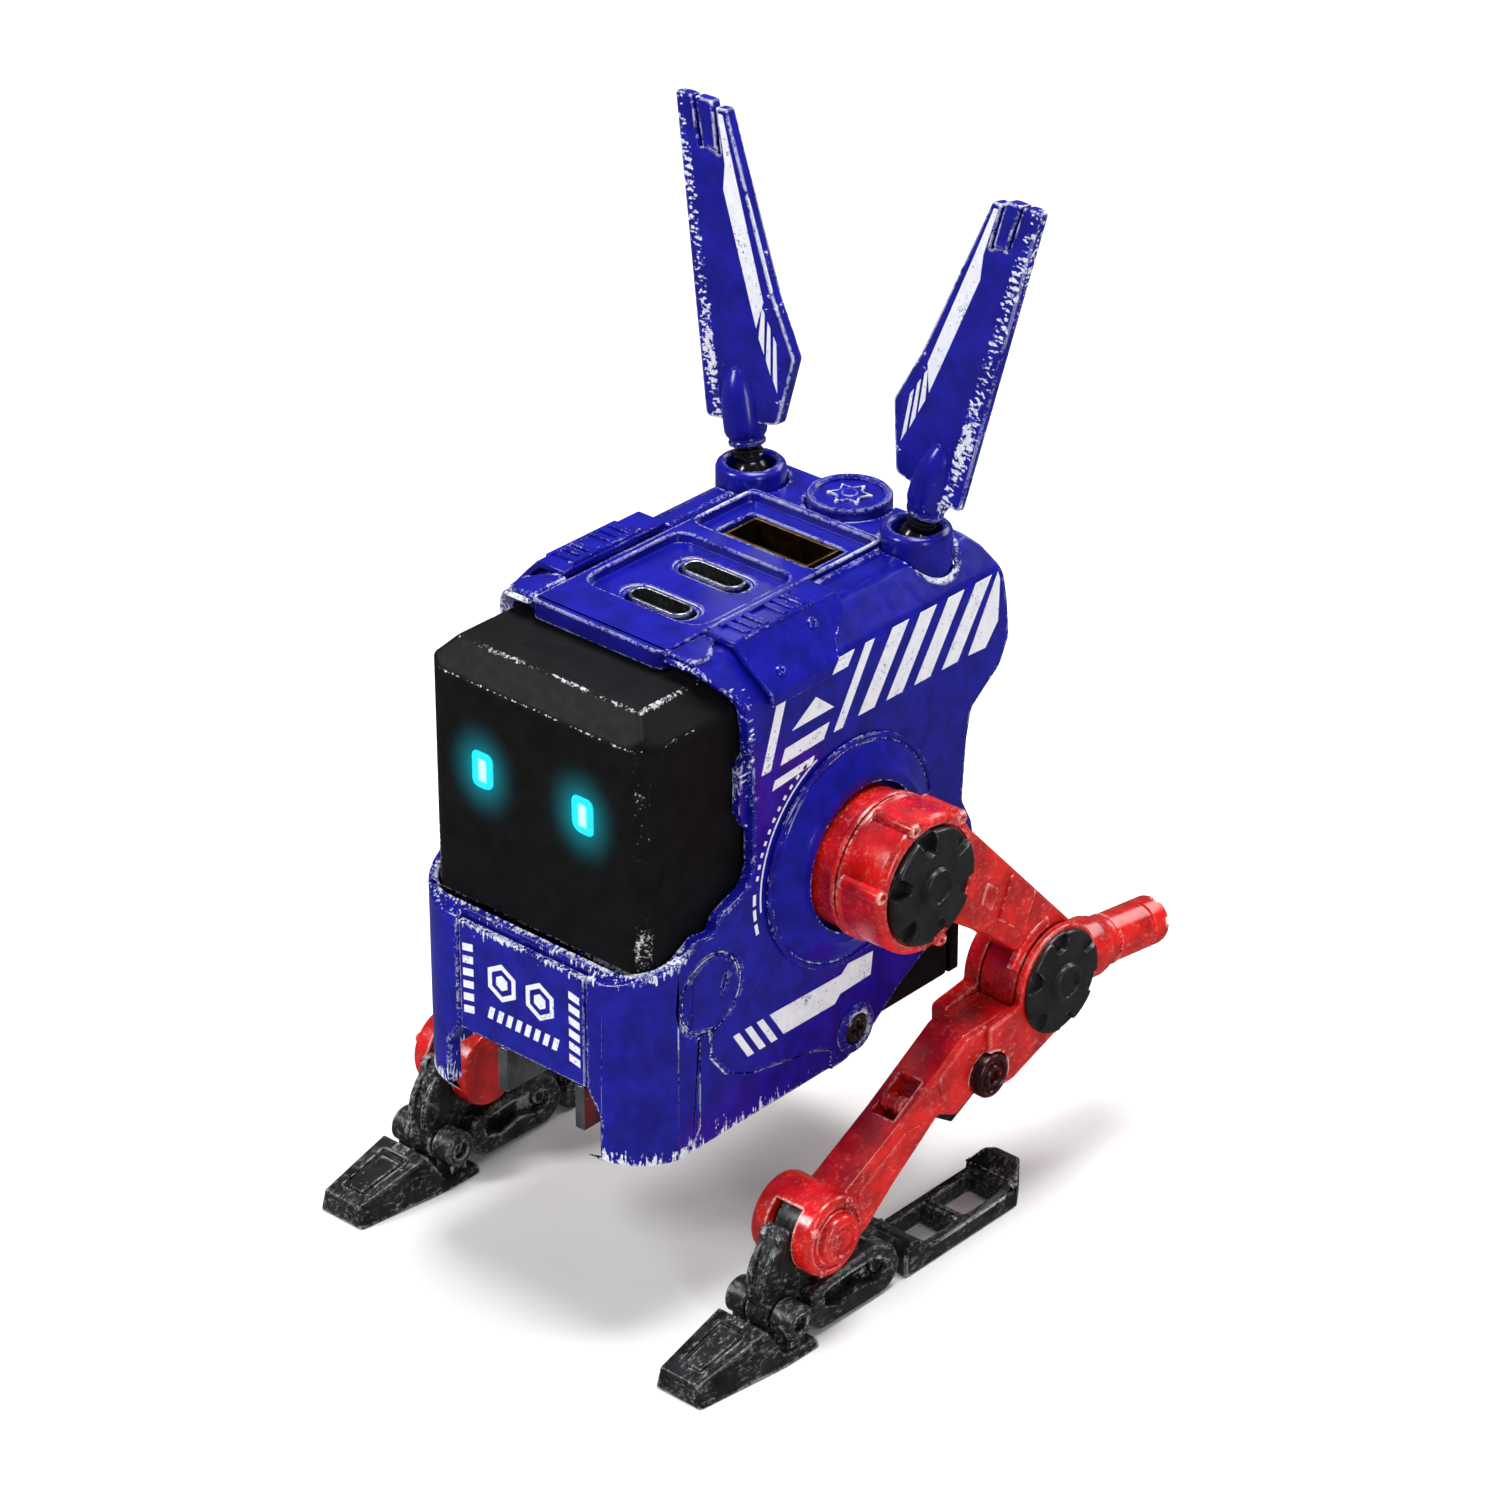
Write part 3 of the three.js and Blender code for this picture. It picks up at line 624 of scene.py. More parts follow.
side_outline = [
    (0, 24.8), (35.8, 24.8), (39.6, 26.4), (45.8, 31.1), (51.5, 34.2), (60.0, 39.5), (59.7, 45.5),
    (59.1, 48.6), (57.2, 52.2), (57.8, 60.4), (58.6, 64.4), (61.0, 66.2), (63.8, 68.2), (65.5, 71.7),
    (65.0, 76.6), (64.0, 81.7), (63.2, 83.8), (61.3, 85.8), (13.6, 85.8), (17.8, 81.0), (18.5, 73.9),
    (19.0, 68.4), (19.0, 59.0), (17.8, 56.8), (13.1, 55.1), (12.2, 53.2), (9.6, 53.7), (6.2, 51.9),
    (2.8, 50.8), (0, 48.9),
]
outline_radii = [
    0.1, 6, 4, 4, 4, 1.5, 4, 3, 2, 4, 2, 3, 3, 3, 4, 2, 1, 2, 0.1, 3, 4, 3, 3, 2, 1.5, 0.8, 0.8, 3, 3, 1.0
]
inner = common(
    prism("z", plan(SIDE - 1.8, 2.2, 80, 4.4), 10, TOP - 1.9),
    prism("y", section(18.0, 5, 80.2, 14.5, TOP - 1.9), -1, 81),
)
ear_hole = disc("z", 4.6, 78, 92, EAR)
hip_hole = disc("x", 3.6, 14, 22, HIP)
screw_hole = disc("x", 2.1, 17, 22, SCREW)
hatch_ring = turned("x", [(4.9, 19.3), (5.35, 19.3), (5.45, 21), (4.8, 21)], HATCH, 72)
hatch_slot = prism("x", pill((14.1, 45.9), 1.5, 0.42, 72), 19.2, 21)
skirt = prism("x", soften([
    (11.6, 41.0), (11.6, 36.6), (14.2, 33.2), (18.6, 31.2), (30.2, 28.9), (33.2, 27.6), (33.2, 20),
    (60, 20), (60, 10), (-5, 10), (-5, 26.2), (8.4, 26.2), (9.6, 28.0), (9.6, 41.0),
], 1.0), 19.52, 22)
right_cuts = [ear_hole, hip_hole, screw_hole, hatch_ring, hatch_slot, skirt]
shell = common(
    prism("x", soften(side_outline, outline_radii), -SIDE, SIDE),
    prism("z", plan(SIDE, 0, 70, 8.2, 18), 20, 90),
    prism("y", soften(section(SIDE, 20, 81.0, 15.0, TOP), [0, 0, 3, 3, 3, 3], 6), -1, 71),
)
shell = cut(
    shell, inner,
    prism("y", [(-12.35, 20), (12.35, 20), (12.35, 31), (10.35, 34), (-10.35, 34), (-12.35, 31)], -1, 4),
    box((-10.35, 10.35), (-1, 1.2), (33, 53)),
    box((-10.65, 10.65), (10, 52.95), (80, 90)),
    disc("z", 5.5, 80, 90, MEDAL),
    *right_cuts, *[mirrored(c) for c in right_cuts],
)
boss = turned("x", [(2.1, 19.0), (3.3, 19.0), (3.3, 19.9), (3.0, 20.15), (2.1, 20.15)], SCREW)
tab = bevelled(prism(
    "x", [(19.4, 75.0), (17.5, 72.4), (17.5, 66.6), (18.7, 64.4), (20.0, 64.0), (20.0, 75.0)], 17.7, 18.9
), 0.15)
lip = bevelled(prism("z", soften([
    (-14.6, 14.2), (14.6, 14.2), (15.0, 17.2), (12.4, 20.4), (10.7, 20.4), (10.7, 15.0), (-10.7, 15.0),
    (-10.7, 20.4), (-12.4, 20.4), (-15.0, 17.2),
], 0.6), 85.4, 86.4), 0.25)
ridge = bevelled(prism("y", [(10.9, 85.6), (11.4, 86.3), (12.0, 86.3), (12.6, 85.6)], 38.4, 50.2), 0.12)
shell = join(
    bevelled(shell, 0.32, 3), boss, mirrored(boss), tab, mirrored(tab), lip, ridge, mirrored(ridge)
)
stand_in("armour_shell", shell)

panel = box((-10.15, 10.15), (0, 0.9), (34.0, 48.9))
stand_in("front_panel", bevelled(panel, 0.16), "blue_thin")

# ---------------------------------------------------------------- top details

c_slots = [prism("z", pill((0, y), 6.7, 1.78), 80, 90) for y in (24.8, 34.1)]
c_dish = [prism("z", pill((0, y), 6.9, 2.35), 84.8, 90) for y in (24.8, 34.1)]
port = cut(
    prism(
        "z", soften([(-10.4, 13.6), (10.4, 13.6), (10.4, 52.7), (-10.4, 52.7)], [1.5, 1.5, 1, 1]), 83.9,
        86.4
    ),
    prism(
        "z", soften([(-9.2, 20.9), (9.2, 20.9), (9.2, 38.3), (-9.2, 38.3)], [3, 3, 2.2, 2.2], 8), 85.1, 90
    ),
    prism("z", soften([(-9.9, 41.0), (9.9, 41.0), (9.9, 51.8), (-9.9, 51.8)], [2, 2, 1, 1]), 85.1, 90),
    *c_dish, *c_slots,
    prism("z", soften([(-7.6, 43.0), (7.6, 43.0), (7.6, 49.3), (-7.6, 49.3)], 0.5), 80, 90),
)
stand_in("port_frame", bevelled(port, 0.22), "blue_fine")

medal_profile = [
    (0, 84.2), (5.3, 84.2), (5.3, 86.7), (5.05, 87.0), (4.6, 87.0), (4.3, 86.7), (4.3, 86.5), (0, 86.5)
]
medal = turned("z", medal_profile, MEDAL, 72)
relief = join(
    prism("z", [polar(MEDAL, 2.9 if k % 2 else 1.7, 30 * k) for k in range(12)], 86.3, 86.85),
    disc("z", 1.0, 86.3, 87.0, MEDAL, 24),
)
stand_in("medallion", join(medal, bevelled(relief, 0.1)), "blue_fine")

bracket_path = [(11.2, 86.05), (15.3, 86.05), (20.1, 81.3), (20.1, 79.6), (20.75, 79.9), (20.75, 81.7),
                (15.6, 86.95), (11.2, 86.95)]
bracket = bevelled(common(prism("y", bracket_path, 20.3, 38.0), prism(
    "x", [(20.3, 90), (20.3, 84.9), (21.6, 79), (31.0, 79), (34.0, 83.2), (38.0, 85.4), (38.0, 90)], 5, 25
)), 0.2)
slope = math.degrees(math.atan2(86.95 - 81.7, 20.75 - 15.6))
ribs = [bevelled(box(
    (12.0, 15.4), (22.7 + 1.5 * k + (2.0 if k > 2 else 0), 23.6 + 1.5 * k + (2.0 if k > 2 else 0)),
    (86.7, 87.3)
), 0.12) for k in range(6)]
bar = [bevelled(box((11.5, 12.2), (22.0, 34.0), (86.7, 87.35)), 0.12),
       bevelled(box((15.2, 15.9), (22.0, 34.0), (86.3, 87.1)), 0.12)]


def on_slope(y, across, raise_by):
    """A point on the bracket's slanted face: `across` mm down the slope from its top edge."""
    c, s = math.cos(math.radians(slope)), math.sin(math.radians(slope))
    return 15.6 + across * c + raise_by * s, y, 86.95 - across * s + raise_by * c


studs = [turned(
    "z", [(0, -0.4), (0.75, -0.4), (0.75, 0.15), (0.55, 0.3), (0.3, 0.3), (0.25, 0.12), (0, 0.12)], (0, 0),
    20, lambda a, b, c, y=y, d=d: on_slope(y + b, d + a, c)
) for y, d in ((24.2, 5.4), (32.2, 2.2))]
pair("shoulder_bracket", join(bracket, *ribs, *bar, *studs), "blue_clean")

screw = cut(
    turned("x", [(0, 18.3), (1.9, 18.3), (1.9, 19.9), (1.6, 20.2), (0, 20.2)], SCREW, 32),
    prism("x", [
        (SCREW[0] - 1.3, SCREW[1] - 0.28), (SCREW[0] + 1.3, SCREW[1] - 0.28),
        (SCREW[0] + 1.3, SCREW[1] + 0.28), (SCREW[0] - 1.3, SCREW[1] + 0.28)
    ], 19.4, 21),
    prism("x", [
        (SCREW[0] - 0.28, SCREW[1] - 1.3), (SCREW[0] + 0.28, SCREW[1] - 1.3),
        (SCREW[0] + 0.28, SCREW[1] + 1.3), (SCREW[0] - 0.28, SCREW[1] + 1.3)
    ], 19.4, 21),
)
pair("side_screw", screw)

flange = turned("x", [
    (9.6, 20.0), (15.0, 20.0), (15.0, 20.28), (14.85, 20.42), (14.45, 20.42), (14.3, 20.25), (14.1, 20.25),
    (13.95, 20.45), (13.4, 20.8), (12.4, 21.15), (11.5, 21.6), (11.0, 22.0), (10.7, 22.2), (9.6, 22.2),
], HIP, 112)
pair("hip_flange", flange, "blue_clean")
pair("hip_base", turned("x", [
    (3.6, 20.0), (8.8, 20.0), (8.8, 24.2), (9.1, 24.4), (9.25, 24.6), (9.25, 25.1), (9.1, 25.3),
    (3.6, 25.3),
], HIP, 96))
pair("ear_socket", cut(turned("z", [
    (2.9, 79), (4.4, 79), (4.4, 87.3), (4.25, 87.75), (3.95, 88.05), (3.5, 88.2), (3.15, 88.05),
    (2.9, 87.6),
], EAR, 64), inner), "blue_fine")

# ----------------------------------------------------------------------- core

core = common(
    prism("z", plan(HEAD_SIDE, HEAD_FRONT, 59.8, 3.75, 12), 26.4, HEAD_TOP),
    prism("y", section(HEAD_SIDE, 20, CHAMFER_LOW, 14.3, HEAD_TOP), -1, 71),
    prism("x", [
        (8.5, 26.4), (70, 26.4), (70, HEAD_TOP), (5.6, HEAD_TOP), (HEAD_FRONT, CHAMFER_LOW),
        (HEAD_FRONT, 34.0),
    ], -30, 30),
)


def eye_outline(grow):
    x, z = 1.75 + grow, 2.45 + grow
    return soften([(8.0 - x, 68.75 - z), (8.0 + x, 68.75 - z), (8.0 + x, 68.75 + z), (8.0 - x, 68.75 + z)],
                  [1.9, 1.1, 1.1, 1.1], 6)


eye_hole = prism("y", eye_outline(0.12), 0, 8)
side_hole = disc("x", 3.6, 14, 22, HIP)
housing = cut(
    common(core, box((-30, 30), (0, 57.6), (0, 90))),
    box((-15.8, 15.8), (4.55, 58), (34.4, 81.7)),
    box((-9.8, 9.8), (0, 25.6), (20, 32.4)),
    box((-5.5, 5.5), (22.4, 36.5), (80, 90)),
    box((-7.4, 7.4), (42.5, 49.8), (80, 90)),
)
housing = cut(bevelled(housing, 0.55, 4), eye_hole, mirrored(eye_hole), side_hole, mirrored(side_hole))
stand_in("core_housing", housing)
vents = [bevelled(prism("y", pill((0, z + 0.8), 16.4, 0.8), 50, 61), 0.05, 1) for z in (44, 49, 54, 59)]
cover = cut(bevelled(common(core, box((-30, 30), (57.9, 70), (0, 90))), 0.3), *vents)
stand_in("rear_cover", cover)
pair("eye_light", bevelled(prism("y", eye_outline(0), 2.6, 4.6), 0.12), "eye_light")

for name in (
    "led_board", "main_board", "usb_board", "transformer", "bulk_capacitor", "choke_coil", "usb_c_shell_1",
    "usb_c_shell_2", "usb_a_shell", "usb_a_tongue", "plug_carrier", "plug_blade_r", "plug_blade_l"
):
    stand_in(name, bevelled(cad(name), 0.12, 2))

for k, y in enumerate((24.8, 34.1)):
    piece("usb_c_tongue_%d" % (k + 1), bevelled(box((-3.4, 3.4), (y - 0.35, y + 0.35), (73.0, 82.0)), 0.1),
          "root", "black_plastic")
for k in range(4):
    x = -3.9 + 2.6 * k
    piece("usb_a_contact_%d" % (k + 1), bevelled(prism("x", [
        (44.3, 73.2), (44.3, 82.4), (43.9, 82.9), (43.6, 82.2), (43.6, 73.2)], x - 0.55, x + 0.55), 0.06),
        "root", "gold_contact")

# ----------------------------------------------------------------------- legs
drum = turned("x", [
    (0, 25.6), (9.15, 25.6), (9.3, 25.75), (9.3, 26.05), (9.1, 26.3), (9.0, 26.5), (9.0, 31.2), (8.9, 31.7),
    (8.65, 32.1), (8.3, 32.35), (7.95, 32.4), (7.7, 32.25), (7.7, 31.6), (0, 31.6),
], HIP, 96)
bosses = [turned(
    "x", [(0, 26.4), (0.95, 26.4), (0.95, 32.1), (0.7, 32.5), (0.45, 32.5), (0.4, 32.1), (0, 32.1)],
    polar(HIP, 8.85, a), 24
) for a in (49, 108, 167, 286)]
arm = bevelled(prism("x", soften([
    (38.5, 48.5), (42.7, 45.6), (49.6, 40.7), (56.1, 35.0), polar(KNEE, 5, 150), polar(KNEE, 7.2, 45),
    polar(HIP, 9, 45), polar(HIP, 8, 100),
], [0, 2, 3, 2, 0, 0, 0, 0]), 25.6, 31.0), 0.75, 4, 50)
knuckle = bevelled(disc("x", 7.2, 25.6, 31.0, KNEE, 72), 0.4, 3, 60)
plate = bevelled(
    prism("x", soften([(50.6, 42.6), (52.9, 48.2), (57.6, 43.9), (55.3, 38.9)], 0.5), 30.6, 31.35), 0.16
)
stud = bevelled(
    prism("x", soften([(47.2, 46.4), (48.4, 48.9), (50.4, 47.2), (49.2, 44.6)], 0.3), 30.6, 31.25), 0.12
)
band = bevelled(prism("x", [polar(KNEE, 9.2, a) for a in range(96, 151, 6)]
                + [polar(KNEE, 7.7, a) for a in range(150, 95, -6)], 30.4, 31.25), 0.14)
thigh = cut(
    join(arm, knuckle, drum, plate, stud, band, *bosses), disc("x", 7.7, 31.6, 40, HIP, 96),
    disc("x", 3.5, 20, 29.4, HIP, 32), disc("x", 2.3, 20, 40, KNEE, 24)
)
pair("thigh", thigh)


def wheel_cap(centre, r, base, offset):
    """A dished cap with six open notches in its rim and a ringed hub."""
    body = turned("x", [
        (0, base), (r, base), (r, 32.95), (r - 0.2, 33.2), (r - 0.7, 33.35), (3.6, 33.5), (3.1, 33.42),
        (2.75, 33.5), (2.6, 33.7), (2.5, 34.05), (2.3, 34.2), (1.85, 34.2), (1.7, 34.0), (1.65, 33.85),
        (0, 33.85),
    ], centre, 96)
    notches = []
    for k in range(6):
        a = math.radians(offset + 60 * k)
        ring = soften(
            [(4.7, -0.55), (r - 0.9, -1.3), (r + 2, -1.75), (r + 2, 1.75), (r - 0.9, 1.3), (4.7, 0.55)],
            [0.5, 1, 0, 0, 1, 0.5], 5
        )
        notches.append(prism("x", [
            (centre[0] + u * math.cos(a) - v * math.sin(a), centre[1] + u * math.sin(a) + v * math.cos(a))
            for u, v in ring
        ], base + 0.35, 36))
    return bevelled(cut(body, *notches), 0.09, 2, 42)


pair("hip_cap", wheel_cap(HIP, 7.4, 31.9, 40))
pair("knee_cap", wheel_cap(KNEE, 6.8, 32.7 - 0.3, 38))

TUBE_TILT = math.radians(8)


def along_tube(x, a, z):
    """The tube's own frame: a mm out from the knee along its slightly drooping axis."""
    c, s = math.cos(TUBE_TILT), math.sin(TUBE_TILT)
    return 28.3 + x, KNEE[0] + a * c + z * s, KNEE[1] - a * s + z * c


tube = turned("y", [
    (0, 7.3), (3.6, 7.3), (3.95, 7.7), (3.95, 10.5), (3.75, 10.85), (3.75, 11.3), (3.6, 11.7), (3.3, 12.3),
    (3.2, 12.7), (3.2, 20.2), (2.98, 20.4), (2.98, 20.75), (3.2, 20.95), (3.2, 23.3), (3.05, 23.65),
    (2.75, 23.8), (2.5, 23.75), (2.4, 23.5), (2.4, 22.3), (0, 22.3),
], (0, 0), 64, along_tube)
teeth = [prism("y", [(r * math.cos(t), r * math.sin(t)) for r, t in (
    (2, a - 0.2), (4, a - 0.16), (4, a + 0.16), (2, a + 0.2))], 23.05, 25, along_tube)
    for a in [math.pi / 3 * k + 0.3 for k in range(6)]]
strap = [turned("y", [(3.0, 13.6), (3.32, 13.6), (3.32, 14.0), (3.0, 14.0)], (0, 0), 64, along_tube)]
pair("knee_tube", join(cut(tube, *teeth), *strap))

shin_outline = [
    (56, 28.6), (52, 29.0), (44.8, 29.0), (38.3, 25.2), (33.0, 22.1), (22.5, 16.8), (19.5, 13.5),
    (24.0, 8.6), (26.8, 9.9), (31.7, 13.9), (40.0, 19.8), (43.3, 18.2), (48.0, 20.3), (52.7, 18.6),
    (59.0, 20.2), (60, 26),
]
beam = bevelled(prism("x", soften(shin_outline, [0, 2, 1.6, 0.8, 0.8, 2, 0, 0, 1, 2, 1, 1, 1, 1, 2, 0]),
                      25.3, 31.2), 0.55, 4, 35)


def cheek(r, low, high):
    return bevelled(join(disc("x", r, low, high, KNEE, 72), prism("x", soften(
        [(61, 22.5), (52.7, 19.6), (50, 19.5), (48.2, 24), (48, 28.8), (58, 30)], [0, 1, 1, 1, 1, 0]
    ), low, high)), 0.28, 3)


barrel = turned("x", [
    (0, 23.8), (4.8, 23.8), (5.15, 24.0), (5.3, 24.4), (5.3, 32.2), (5.2, 32.6), (4.95, 32.9), (4.6, 33.0),
    (4.25, 33.0), (4.1, 32.7), (3.65, 32.7), (3.5, 33.0), (3.2, 33.0), (3.2, 33.65), (3.05, 34.0),
    (2.7, 34.2), (2.2, 34.2), (2.0, 33.9), (1.5, 33.85), (1.3, 34.05), (0, 34.1),
], ANKLE, 80)
pips = [
    turned("x", [(0, 32.6), (0.62, 32.6), (0.62, 33.1), (0.4, 33.3), (0, 33.3)], polar(ANKLE, 4.55, a), 20)
    for a in (62, 148, 236)
]
slot_fan = [
    ANKLE, polar(ANKLE, 9, 125), polar(ANKLE, 12, 180), polar(ANKLE, 12, 235), polar(ANKLE, 12, 290),
    polar(ANKLE, 9, 318)
]
front_pod = bevelled(prism("x", soften([
    (39.4, 25.2), (44.9, 28.5), (50.2, 28.4), (49.4, 25.4), (45.4, 21.6), (43.2, 20.0), (40.6, 21.7),
], 0.9), 30.6, 31.55), 0.3)
low_pod = bevelled(prism("x", soften([
    (24.4, 15.6), (33.6, 20.4), (37.6, 20.3), (31.2, 15.6), (27.2, 12.4),
], 1.0), 30.6, 31.45), 0.26)
shin = join(
    beam, cheek(7.0, 22.9, 25.3), cheek(7.4, 31.3, 32.4),
    prism("x", [(58, 24), (50, 19.5), (48, 28.8), (54, 28)], 25.2, 31.4), barrel, front_pod, low_pod, *pips
)
shin = cut(
    shin, disc("x", 7.6, 25.3, 31.3, KNEE, 72), disc("x", 4.7, 26.2, 30.4, ANKLE, 48),
    prism("x", slot_fan, 26.2, 30.4), disc("x", 3.2, 31.2, 40, WASHER, 48),
    disc("x", 2.2, 20, 40, KNEE, 24),
    prism(
        "x",
        soften([(33.4, 20.6), (36.2, 20.4), (38.4, 23.8), (37.6, 28), (31.8, 24)], [0.6, 0.6, 0, 0, 0]),
        26.6, 30.0
    ),
)
pair("shin", shin)
trim("shin_roller", turned("x", [
    (0, 26.7), (1.0, 26.7), (1.25, 26.9), (1.25, 27.6), (1.05, 27.7), (1.05, 28.9), (1.25, 29.0),
    (1.25, 29.7), (1.0, 29.9), (0, 29.9),
], (35.3, 22.6), 40), "leg_lower_r", "red_paint")
# Painted shade: a black strip, standing a little outside the CAD shape, laid along the shin's lower rear
# edge for the shade under that edge.
trim("shin_shade_strip", bevelled(prism("x", [
    (26.6, 9.3), (31.9, 13.3), (40.1, 19.2), (43.2, 17.1), (48.1, 19.5), (52.0, 18.2), (52.0, 19.6),
    (47.9, 21.4), (43.3, 19.0), (39.9, 21.2), (31.2, 14.9), (26.0, 10.6),
], 25.9, 30.6), 0.2), "leg_lower_r", "black_plastic")
pair("shin_washer", turned("x", [
    (0, 31.5), (2.9, 31.5), (2.9, 32.5), (2.7, 32.8), (2.3, 32.95), (2.05, 32.75), (1.95, 32.5),
    (1.65, 32.5), (1.5, 32.8), (1.3, 33.0), (1.0, 33.0), (0.85, 32.75), (0.8, 32.4), (0, 32.4),
], WASHER, 56), "dark_red")
for name in ("hip_axle", "knee_pin", "ankle_pin"):
    pair(name, bevelled(cad(name + "_r"), 0.1, 2))

# ----------------------------------------------------------------------- feet

LEG_X = 28.3
arch = bevelled(prism("x", soften([
    (15.3, 3.4), (17.2, 0.6), (29.2, 0.3), (31.2, 1.6), (31.8, 3.6), (30.6, 6.2), (27.4, 7.7), (22.2, 7.6),
    (19, 7.4), (15.6, 6.6),
], [1, 1, 1.2, 1, 1.5, 1.5, 1.5, 0, 0, 1]), LEG_X - 4, LEG_X + 4), 0.4, 3)
hollow = soften([
    (17.4, 5.9), (18.0, 3.6), (20.6, 2.7), (24.0, 3.5), (27.6, 2.5), (29.4, 3.4), (29.2, 4.9), (26.8, 6.2),
    (22.2, 6.3)
], 0.9)
strut = bevelled(prism("x", soften([
    (12.6, 14.6), (14.0, 15.6), (16.4, 13.5), (19, 13.5), (20.5, 9.6), (17.5, 7.0), (14.4, 4.7),
    (10.2, 5.6), (9.8, 9.0), (11.2, 12.4),
], [0.5, 0.5, 0, 0, 0, 0, 0, 0, 1.2, 1.2]), 26.5, 30.1), 0.35, 3)
rib = [bevelled(prism("x", [polar((16.6, 8.4), 7.1, a) for a in range(118, 191, 8)] + [
    polar((16.6, 8.4), 5.2, a) for a in range(190, 117, -8)
], LEG_X + x - 0.4, LEG_X + x + 0.4), 0.15) for x in (-1.1, 1.1)]
prongs = [bevelled(prism("x", [(12.2, 13.4), (12.1, 14.9), (13.0, 15.7), (13.8, 15.2), (14.2, 13.8)],
                         LEG_X + x - 0.5, LEG_X + x + 0.5), 0.2) for x in (-1.2, 1.2)]
midfoot = cut(
    join(
        arch, strut, bevelled(disc("x", 4.2, 26.5, 30.1, ANKLE, 48), 0.3),
        disc("x", 2.35, 26.6, 30.0, TOE, 40), *rib, *prongs
    ),
    prism("x", hollow, LEG_X + 2.3, 40), prism("x", hollow, 20, LEG_X - 2.3),
    disc("x", 1.3, 20, 40, TOE, 24), disc("x", 1.6, 20, 40, ANKLE, 24),
    disc("x", 3.4, 26.4, 30.2, HEEL, 40), box((26.4, 30.2), (HEEL[0], 40), (0, 8)),
    disc("x", 1.3, 25.1, 31.5, HEEL, 24),
)
pair("midfoot", midfoot)


def loft(sections):
    """Four-cornered sections on the foot's middle, each of (y, half width, z) low and high."""
    points = []
    for (y0, half0, z0), (y1, half1, z1) in sections:
        points += [
            (LEG_X - half0, y0, z0), (LEG_X + half0, y0, z0), (LEG_X + half1, y1, z1),
            (LEG_X - half1, y1, z1)
        ]
    last = len(points) - 4
    faces = [(0, 1, 2, 3), (last + 3, last + 2, last + 1, last)]
    for i in range(0, last, 4):
        faces += [(i + k, i + (k + 1) % 4, i + 4 + (k + 1) % 4, i + 4 + k) for k in range(4)]
    return mesh(points, faces)


toe_cap = bevelled(loft([
    ((-4.0, 3.6, 0), (-3.7, 3.1, 3.1)), ((7.6, 5.2, 0), (7.6, 3.9, 5.4)), ((9.6, 5.4, 0), (9.6, 5.1, 1.5)),
    ((15.3, 5.5, 0), (15.1, 5.3, 1.3)),
]), 0.3, 3, 18)


def on_top(x, y, lift):
    """A point on the toe's sloping top, lift mm above it."""
    return LEG_X + x, y, 3.1 + (y + 3.7) * 2.3 / 11.3 + lift


def top_plate(outline, low, high):
    n = len(outline)
    points = [on_top(x, y, lift) for lift in (low, high) for x, y in outline]
    return mesh(points, [tuple(range(n)), tuple(range(2 * n - 1, n - 1, -1))]
                + [(i, (i + 1) % n, n + (i + 1) % n, n + i) for i in range(n)])


panel_cut = bevelled(
    top_plate(soften([(-1.8, -1.9), (1.8, -1.9), (2.2, 5.9), (-2.2, 5.9)], 0.4), -0.45, 1.0), 0.1
)
panel_rise = bevelled(
    top_plate(soften([(-1.25, -1.4), (1.25, -1.4), (1.55, 4.9), (-1.55, 4.9)], 0.4), -1.0, -0.12), 0.12
)
toe_tab = bevelled(top_plate([(-1.1, 6.1), (1.1, 6.1), (1.1, 7.3), (-1.1, 7.3)], -0.8, 0.3), 0.14)


def knuckle(a, b):
    return turned("x", [(0, a), (2.05, a), (2.35, a + 0.3), (2.35, b - 0.3), (2.05, b), (0, b)], TOE, 48)


toe = cut(
    join(
        cut(toe_cap, panel_cut), panel_rise, toe_tab, knuckle(23.1, 26.3), knuckle(30.3, 33.4),
        box((23.6, 26.2), (10.9, 13.4), (0.8, 3.4)), box((30.4, 33.0), (10.9, 13.4), (0.8, 3.4))
    ),
    disc("x", 1.2, 20, 24.3, TOE, 32), disc("x", 1.2, 32.2, 40, TOE, 32),
    disc("x", 2.8, 26.2, 30.4, TOE, 48),
)
pair("toe", join(toe, disc("x", 1.0, 24.0, 32.5, TOE, 24)))

heel = join(
    bevelled(cut(
        prism("x", soften([
            (33.0, 0), (57.0, 0), (57.6, 1.2), (57.4, 4.9), (55.8, 5.1), (53.8, 3.3), (51.6, 2.6),
            (37.8, 2.6), (35.6, 4.4), (34.0, 4.8), (32.8, 3.0)
        ], [0.5, 0.6, 1, 0.7, 0.7, 1.5, 1.2, 1.5, 1, 0.8, 1]), LEG_X - 4, LEG_X + 4),
        box((LEG_X - 2.6, LEG_X + 2.6), (36.2, 43.2), (-1, 9)),
        box((LEG_X - 2.6, LEG_X + 2.6), (45.6, 52.8), (-1, 9)), disc("x", 4.3, 20, 40, HEEL, 48),
        *[prism(
            "z", [(LEG_X + k * x, y) for x, y in ((4.5, 53.5), (4.5, 60), (1.5, 60), (1.5, 57.8))], -1, 9
        ) for k in (1, -1)],
        *[
            prism("y", [(LEG_X + k * x, z) for x, z in ((4.6, 1.9), (4.6, 3.4), (3.1, 3.4))], 37.5, 54.0)
            for k in (1, -1)
        ],
    ), 0.26, 3),
    bevelled(disc("x", 3.0, 26.7, 29.9, HEEL, 48), 0.25), box((26.7, 29.9), (HEEL[0], 34.5), (1.6, 4.4)),
    disc("x", 1.0, 25.4, 31.2, HEEL, 24),
    *[bevelled(box((LEG_X - 2.7, LEG_X + 2.7), (y, y + 0.5), (2.0, 2.85)), 0.12) for y in (43.7, 44.6)],
)
pair("heel", heel)

# ----------------------------------------------------------------------- ears

